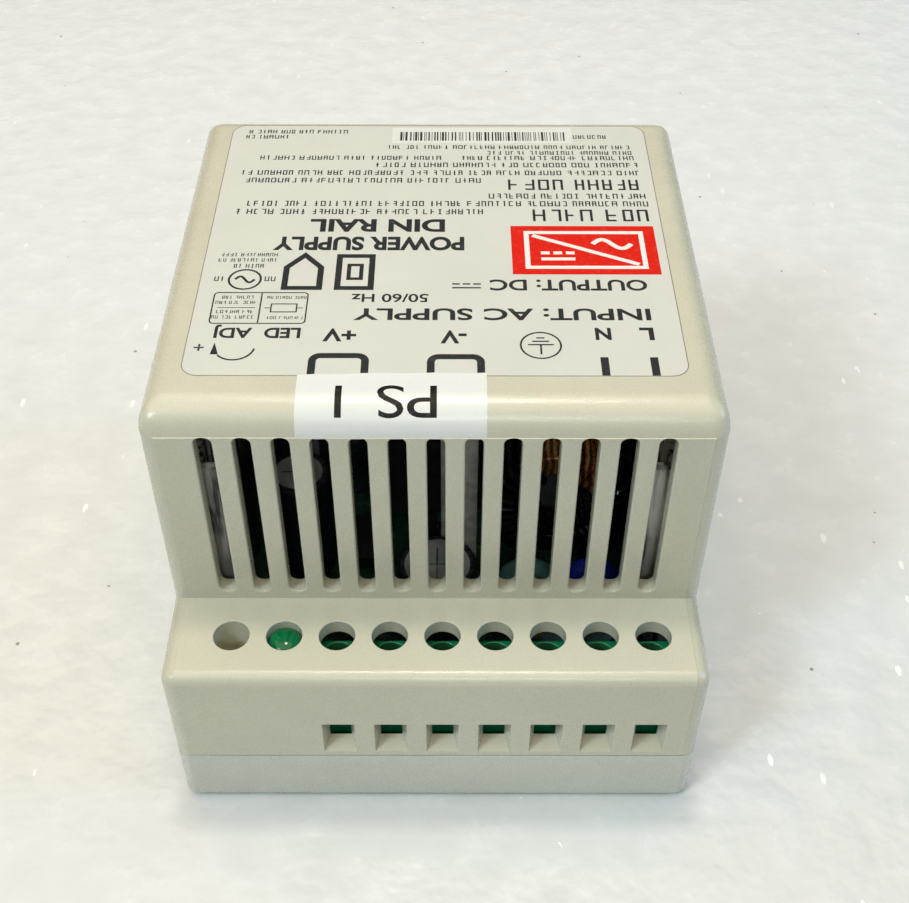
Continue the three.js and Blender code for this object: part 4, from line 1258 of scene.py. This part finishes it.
def electrolytic(node, name):
    """An upright can in a shrink sleeve, whose bare top is scored to vent."""
    box = Box(node)
    radius = (box.x1 - box.x0) / 2
    sleeve = offsets(radius, box.z0, (-0.5, 0), (-0.12, 0.15), (0, 0.5), (0, 1.1), (-0.4, 1.8), (0, 2.5))
    sleeve += offsets(radius, box.z1, (0, -0.7), (-0.12, -0.3), (-0.5, -0.02), (-1.1, 0), (-1.15, -0.12))
    look = sleeved(f"{name}_sleeve", (0.02, 0.024, 0.032), (0.2, 0.25, 0.3), box.x, box.y)
    piece(f"{name}_sleeve", turned(sleeve, box.x, box.y, sides=56), look, [node])
    disc = offsets(radius, box.z1, (-1.13, -0.6), (-1.13, -0.06), (-1.4, -0.03))
    top = turned(disc, box.x, box.y, sides=56)
    score = radius * 0.55
    top = carved(top, slot_in(box, score, 0.12, 0.15), slot_in(box, 0.12, score, 0.15))
    piece(f"{name}_top", top, "can")


electrolytic("bulk_capacitor", "mains_reservoir")
for index in (1, 2, 3):
    electrolytic(f"output_capacitor_{index}", f"output_can_{index}")


def dipped_disc(node, name, look, radius):
    """A dipped disc on two wire legs: its edge is rounded and the coating runs down its legs."""
    box = Box(node)
    half = (box.y1 - box.y0) / 2
    centre = box.z1 - radius
    profile = [(radius * 0.25, box.y0 + 0.02 * half), (radius * 0.6, box.y0)]
    profile += [(radius - half * 0.8 + half * 0.8 * cos(a), box.y + half * sin(a))
                for a in (radians(-80 + 20 * step) for step in range(9))]
    profile += [(radius * 0.6, box.y1), (radius * 0.25, box.y1 - 0.02 * half)]
    parts = [turned(profile, box.x, centre, "Y", 48)]
    for side in (-1, 1):
        leg = offsets(0, box.z0, (0.3, 0), (0.3, 0.8), (0.75, 1.6)) + [(0.8, centre)]
        parts.append(turned(leg, box.x + side * radius * 0.5, box.y, sides=16))
    piece(name, boolean(parts[0], parts[1:], "UNION"), look, [node])


dipped_disc("y_capacitor", "safety_capacitor", "blue", 4.5)
dipped_disc("varistor", "surge_varistor", "teal", 5)
dipped_disc("inrush_thermistor", "inrush_disc", "dark_epoxy", 4.5)

CHOKE = Box("line_choke_core")


def choke_turns(side):
    """Turns of wire laid side by side round one half of the ring core."""
    inner, outer, half = 7.2, 11.2, 3.2
    clear = 0.95
    middle, reach, depth = (inner + outer) / 2, (outer - inner) / 2 + clear, half + clear

    def square(value):
        return copysign(abs(value) ** 0.45, value)

    def point(share, around):
        sweep = radians(-70 + 140 * share)
        radius = middle + reach * square(cos(around))
        x = CHOKE.x + side * radius * cos(sweep)
        return x, CHOKE.y + depth * square(sin(around)), CHOKE.z + radius * sin(sweep)
    return tube(coil(13, 22, point), 0.58, 8)


for side, letter in ((-1, "a"), (1, "b")):
    node = f"line_choke_winding_{letter}"
    look = "copper_with_painted_shade" if side > 0 else "varnished"
    piece(f"choke_turns_{letter}", choke_turns(side), look, [node])

OUTPUT_CHOKE = Box("output_choke")


def drum_core():
    """A ferrite post between two flanges."""
    box = OUTPUT_CHOKE
    flange = ((5.8, 0), (6, 0.2), (6, 1.3), (5.8, 1.5), (3.2, 1.6))
    profile = offsets(0, box.z0, *flange) + [(radius, box.z1 - rise) for radius, rise in reversed(flange)]
    return turned(profile, box.x, box.y, sides=48)


def drum_turns():
    """One layer of thick wire between the drum's flanges."""
    box, radius, margin = OUTPUT_CHOKE, 4.4, 2.25

    def point(share, angle):
        height = box.z0 + margin + (box.z1 - box.z0 - 2 * margin) * share
        return box.x + radius * cos(angle), box.y + radius * sin(angle), height
    return tube(coil(11, 28, point), 0.54, 8)


piece("drum_core", drum_core(), "ferrite", ["output_choke"])
piece("drum_turns", drum_turns(), "copper")

FUSE = Box("fuse")


def fuse_bar(profile):
    return turned(profile, FUSE.y, FUSE.z, "X", 40)


def fuse():
    """A ceramic tube that ends inside two pressed caps."""
    radius, cap = (FUSE.z1 - FUSE.z0) / 2, 4.6
    barrel = fuse_bar([(radius - 0.25, FUSE.x0 + cap - 1), (radius - 0.25, FUSE.x1 - cap + 1)])
    rim = ((-0.6, 0), (-0.15, 0.2), (0, 0.6), (0, cap - 0.1), (-0.2, cap))
    caps = [fuse_bar([(radius + out, end + inward * along) for out, along in rim])
            for end, inward in ((FUSE.x0, 1), (FUSE.x1, -1))]
    piece("fuse_barrel", barrel, "ceramic", ["fuse"])
    piece("fuse_caps", join(caps), "brass")


fuse()


def heatsink_body(box, side):
    """Bent sheet: an upright plate with a foot at the back and an inward lip along its front edge."""
    outer, inner = (box.x1, box.x0) if side > 0 else (box.x0, box.x1)
    face = outer - side * HEATSINK_SHEET
    outline = [(outer, box.y0), (outer, box.y1), (face, box.y1), (face, box.y0 + HEATSINK_SHEET),
               (inner, box.y0 + HEATSINK_SHEET), (inner, box.y0)]
    if side < 0:
        outline.reverse()
    sheet = prism(outline, "Z", box.z0, box.z1)
    low, high = sorted((inner - side, face - side * 0.2))
    window = block(low, high, box.y0 - 1, box.y0 + 2 * HEATSINK_SHEET, box.z0 - 1, box.z0 + 9.5)
    foot_low, foot_high = sorted((inner, outer - side * 0.2))
    foot = block(foot_low, foot_high, box.y1 - 5, box.y1 - 0.2, box.z0 + 0.01, box.z0 + HEATSINK_SHEET)
    return softened(boolean(boolean(sheet, [window]), [foot], "UNION"), 0.25)


def leaded_chip(node, name, pins):
    """A moulded package with a row of bent legs along each long side."""
    box = Box(node)
    outline = rounded_rectangle(box.x0 + 0.5, box.z0 + 0.5, box.x1 - 0.5, box.z1, 0.2, 3)
    body = prism(outline, "Y", box.y0, box.y1)
    dimple = turned([(0.5, box.z1 - 0.2), (0.55, box.z1 + 1)], box.x + 1, box.y0 + 1, sides=20)
    piece(f"{name}_body", boolean(softened(body, 0.18), [dimple]), "chip", [node])
    bend = ((0, 0), (0.25, 0), (0.25, 1.5), (0.6, 1.5), (0.6, 1.75), (0, 1.75))
    legs = []
    pitch = (box.y1 - box.y0) / pins
    for pin in range(pins):
        y = box.y0 + pitch * (pin + 0.5)
        for edge, side in ((box.x0, 1), (box.x1, -1)):
            outline = [(edge + side * inward, box.z0 + up) for inward, up in bend]
            legs.append(prism(outline, "Y", y - 0.25, y + 0.25))
    piece(f"{name}_legs", join(legs), "tinned")


leaded_chip("controller_chip", "control_chip", 4)
leaded_chip("optocoupler", "feedback_coupler", 2)

for row in (  # node, look, slot, radius of its edges, steps of the rounding
    ("led_spacer", "black", "black_plastic", 0.15, 2),
    ("led_anode_lead", "tinned", "tinned_wire", 0.08, 2),
    ("led_cathode_lead", "tinned", "tinned_wire", 0.08, 2),
    ("trimmer_body", "trimmer", "trimmer_plastic", 0.3, 3),
    ("circuit_board", "board", "board_laminate", 0.1, 2),
    ("line_choke_core", "copper_with_painted_shade", "ferrite", 0.5, 3),
    ("transformer_core", "ferrite", "ferrite", 0.3, 2),
    ("transformer_winding", "tape", "tape", 1.2, 4),
    ("switch_transistor", "chip", "black_plastic", 0.2, 3),
    ("output_diode", "chip", "black_plastic", 0.2, 3),
    ("x_capacitor", "box", "film_box", 0.5, 3),
    ("bridge_rectifier", "chip", "black_plastic", 0.35, 3),
    ("insulation_barrier", "card", "barrier_card", 0.08, 3),
):
    carried(*row)

for side, name in ((1, "primary_heatsink"), (-1, "secondary_heatsink")):
    piece(f"{name}_sheet", heatsink_body(Box(name), side), "aluminium", [name])

# ------------ floor, light and camera


def floor():
    """A glossy white table top, just below the object, with painted shade that darkens it towards the front
    and small white painted glints.
    """
    body = bmesh.new()
    bmesh.ops.create_grid(body, x_segments=2, y_segments=2, size=3.0)
    made = placed(mesh_of(body, "table_top"), "table_top")
    made.location.z = -GAP * MM
    look = Look("white_table", (0.84, 0.85, 0.86), 0.2)
    ripples = look.noise(7, 2)
    # Painted shade: the table's colour darkens towards the front.
    painted_falloff_share = look.between(look.coordinate(1), -0.11, 0.2)
    painted_falloff_tones = [look.mix(look.between(ripples, 0.35, 0.65), *pair) for pair in (
        ((0.70, 0.71, 0.70), (0.735, 0.745, 0.74)), ((0.90, 0.92, 0.93), (0.94, 0.96, 0.97)))]
    base = look.mix(painted_falloff_share, *painted_falloff_tones)
    # Painted glints: slanted white dashes that stand for highlights on the table's gloss.
    painted_glint_place = look.node("ShaderNodeMapping",
                        {"Vector": look.place, "Rotation": (0, 0, -0.7), "Scale": (1, 0.4, 1)})
    base = specks(look, base, 0.5, 4.4, 0.54, (1, 1, 1), 1.0, painted_glint_place.outputs[0])
    base = specks(look, base, 0.35, 7.0, 0.56, (0.25, 0.22, 0.17), 0.8)
    made.data.materials.append(look.done(
        base, look.spread(ripples, 0.16, 0.3),
        look.math("ADD", ripples, look.math("MULTIPLY", look.noise(1.6, 1), 0.12)), 0.5))


def area_light(name, place, size, power, colour):
    """A square lamp that faces the middle of the object."""
    target = Vector((0, 0, 0.04))
    data = bpy.data.lights.new(name, "AREA")
    data.shape = "RECTANGLE"
    data.size = data.size_y = size
    data.energy = power
    data.color = colour
    made = placed(data, name)
    made.location = place
    made.rotation_mode = "QUATERNION"
    made.rotation_quaternion = (target - Vector(place)).to_track_quat("-Z", "Y")


def studio():
    """A dim cool surround, a broad warm ceiling light and four smaller lamps."""
    world = bpy.data.worlds.new("studio")
    bpy.context.scene.world = world
    world.use_nodes = True
    background = world.node_tree.nodes["Background"]
    background.inputs["Color"].default_value = (0.8, 0.92, 1.0, 1)
    background.inputs["Strength"].default_value = 0.042
    area_light("ceiling", (-0.1, 0.0, 0.8), 1.0, 5.6, (1.0, 0.82, 0.62))
    area_light("window", (-0.6, -0.54, 0.89), 0.28, 4.6, (0.66, 0.88, 1.0))
    area_light("fill", (1.0, 0.0, 0.6), 0.6, 3.5, (0.28, 0.66, 1.0))
    area_light("lamp", (0.0, 0.13, 1.0), 0.1, 2.1, (1.0, 0.93, 0.8))
    area_light("front", (0.05, -0.85, 0.8), 0.15, 1.4, (0.95, 1.0, 0.95))


CAMERA_PLACE = Vector((2.175, -157.68, 183.93)) * MM
CAMERA_PITCH = radians(44.377)
CAMERA_YAW = radians(0.202)
CAMERA_ROLL = radians(0.213)
CAMERA_LENS = 52.835


def camera():
    """The camera that took the photo, as fitted to the housing's corners."""
    forward = Vector((sin(CAMERA_YAW) * cos(CAMERA_PITCH), cos(CAMERA_YAW) * cos(CAMERA_PITCH),
                      -sin(CAMERA_PITCH)))
    level = Vector((cos(CAMERA_YAW), -sin(CAMERA_YAW), 0))
    up = level.cross(forward)
    right = level * cos(CAMERA_ROLL) + up * sin(CAMERA_ROLL)
    up = up * cos(CAMERA_ROLL) - level * sin(CAMERA_ROLL)
    data = bpy.data.cameras.new("camera")
    data.sensor_width = 36
    data.lens = CAMERA_LENS
    data.clip_start = 0.01
    made = placed(data, "camera")
    turn = Matrix((right, up, -forward)).transposed().to_4x4()
    made.matrix_world = Matrix.Translation(CAMERA_PLACE) @ turn
    bpy.context.scene.camera = made


floor()
studio()
camera()
bpy.context.scene.view_settings.view_transform = "Standard"
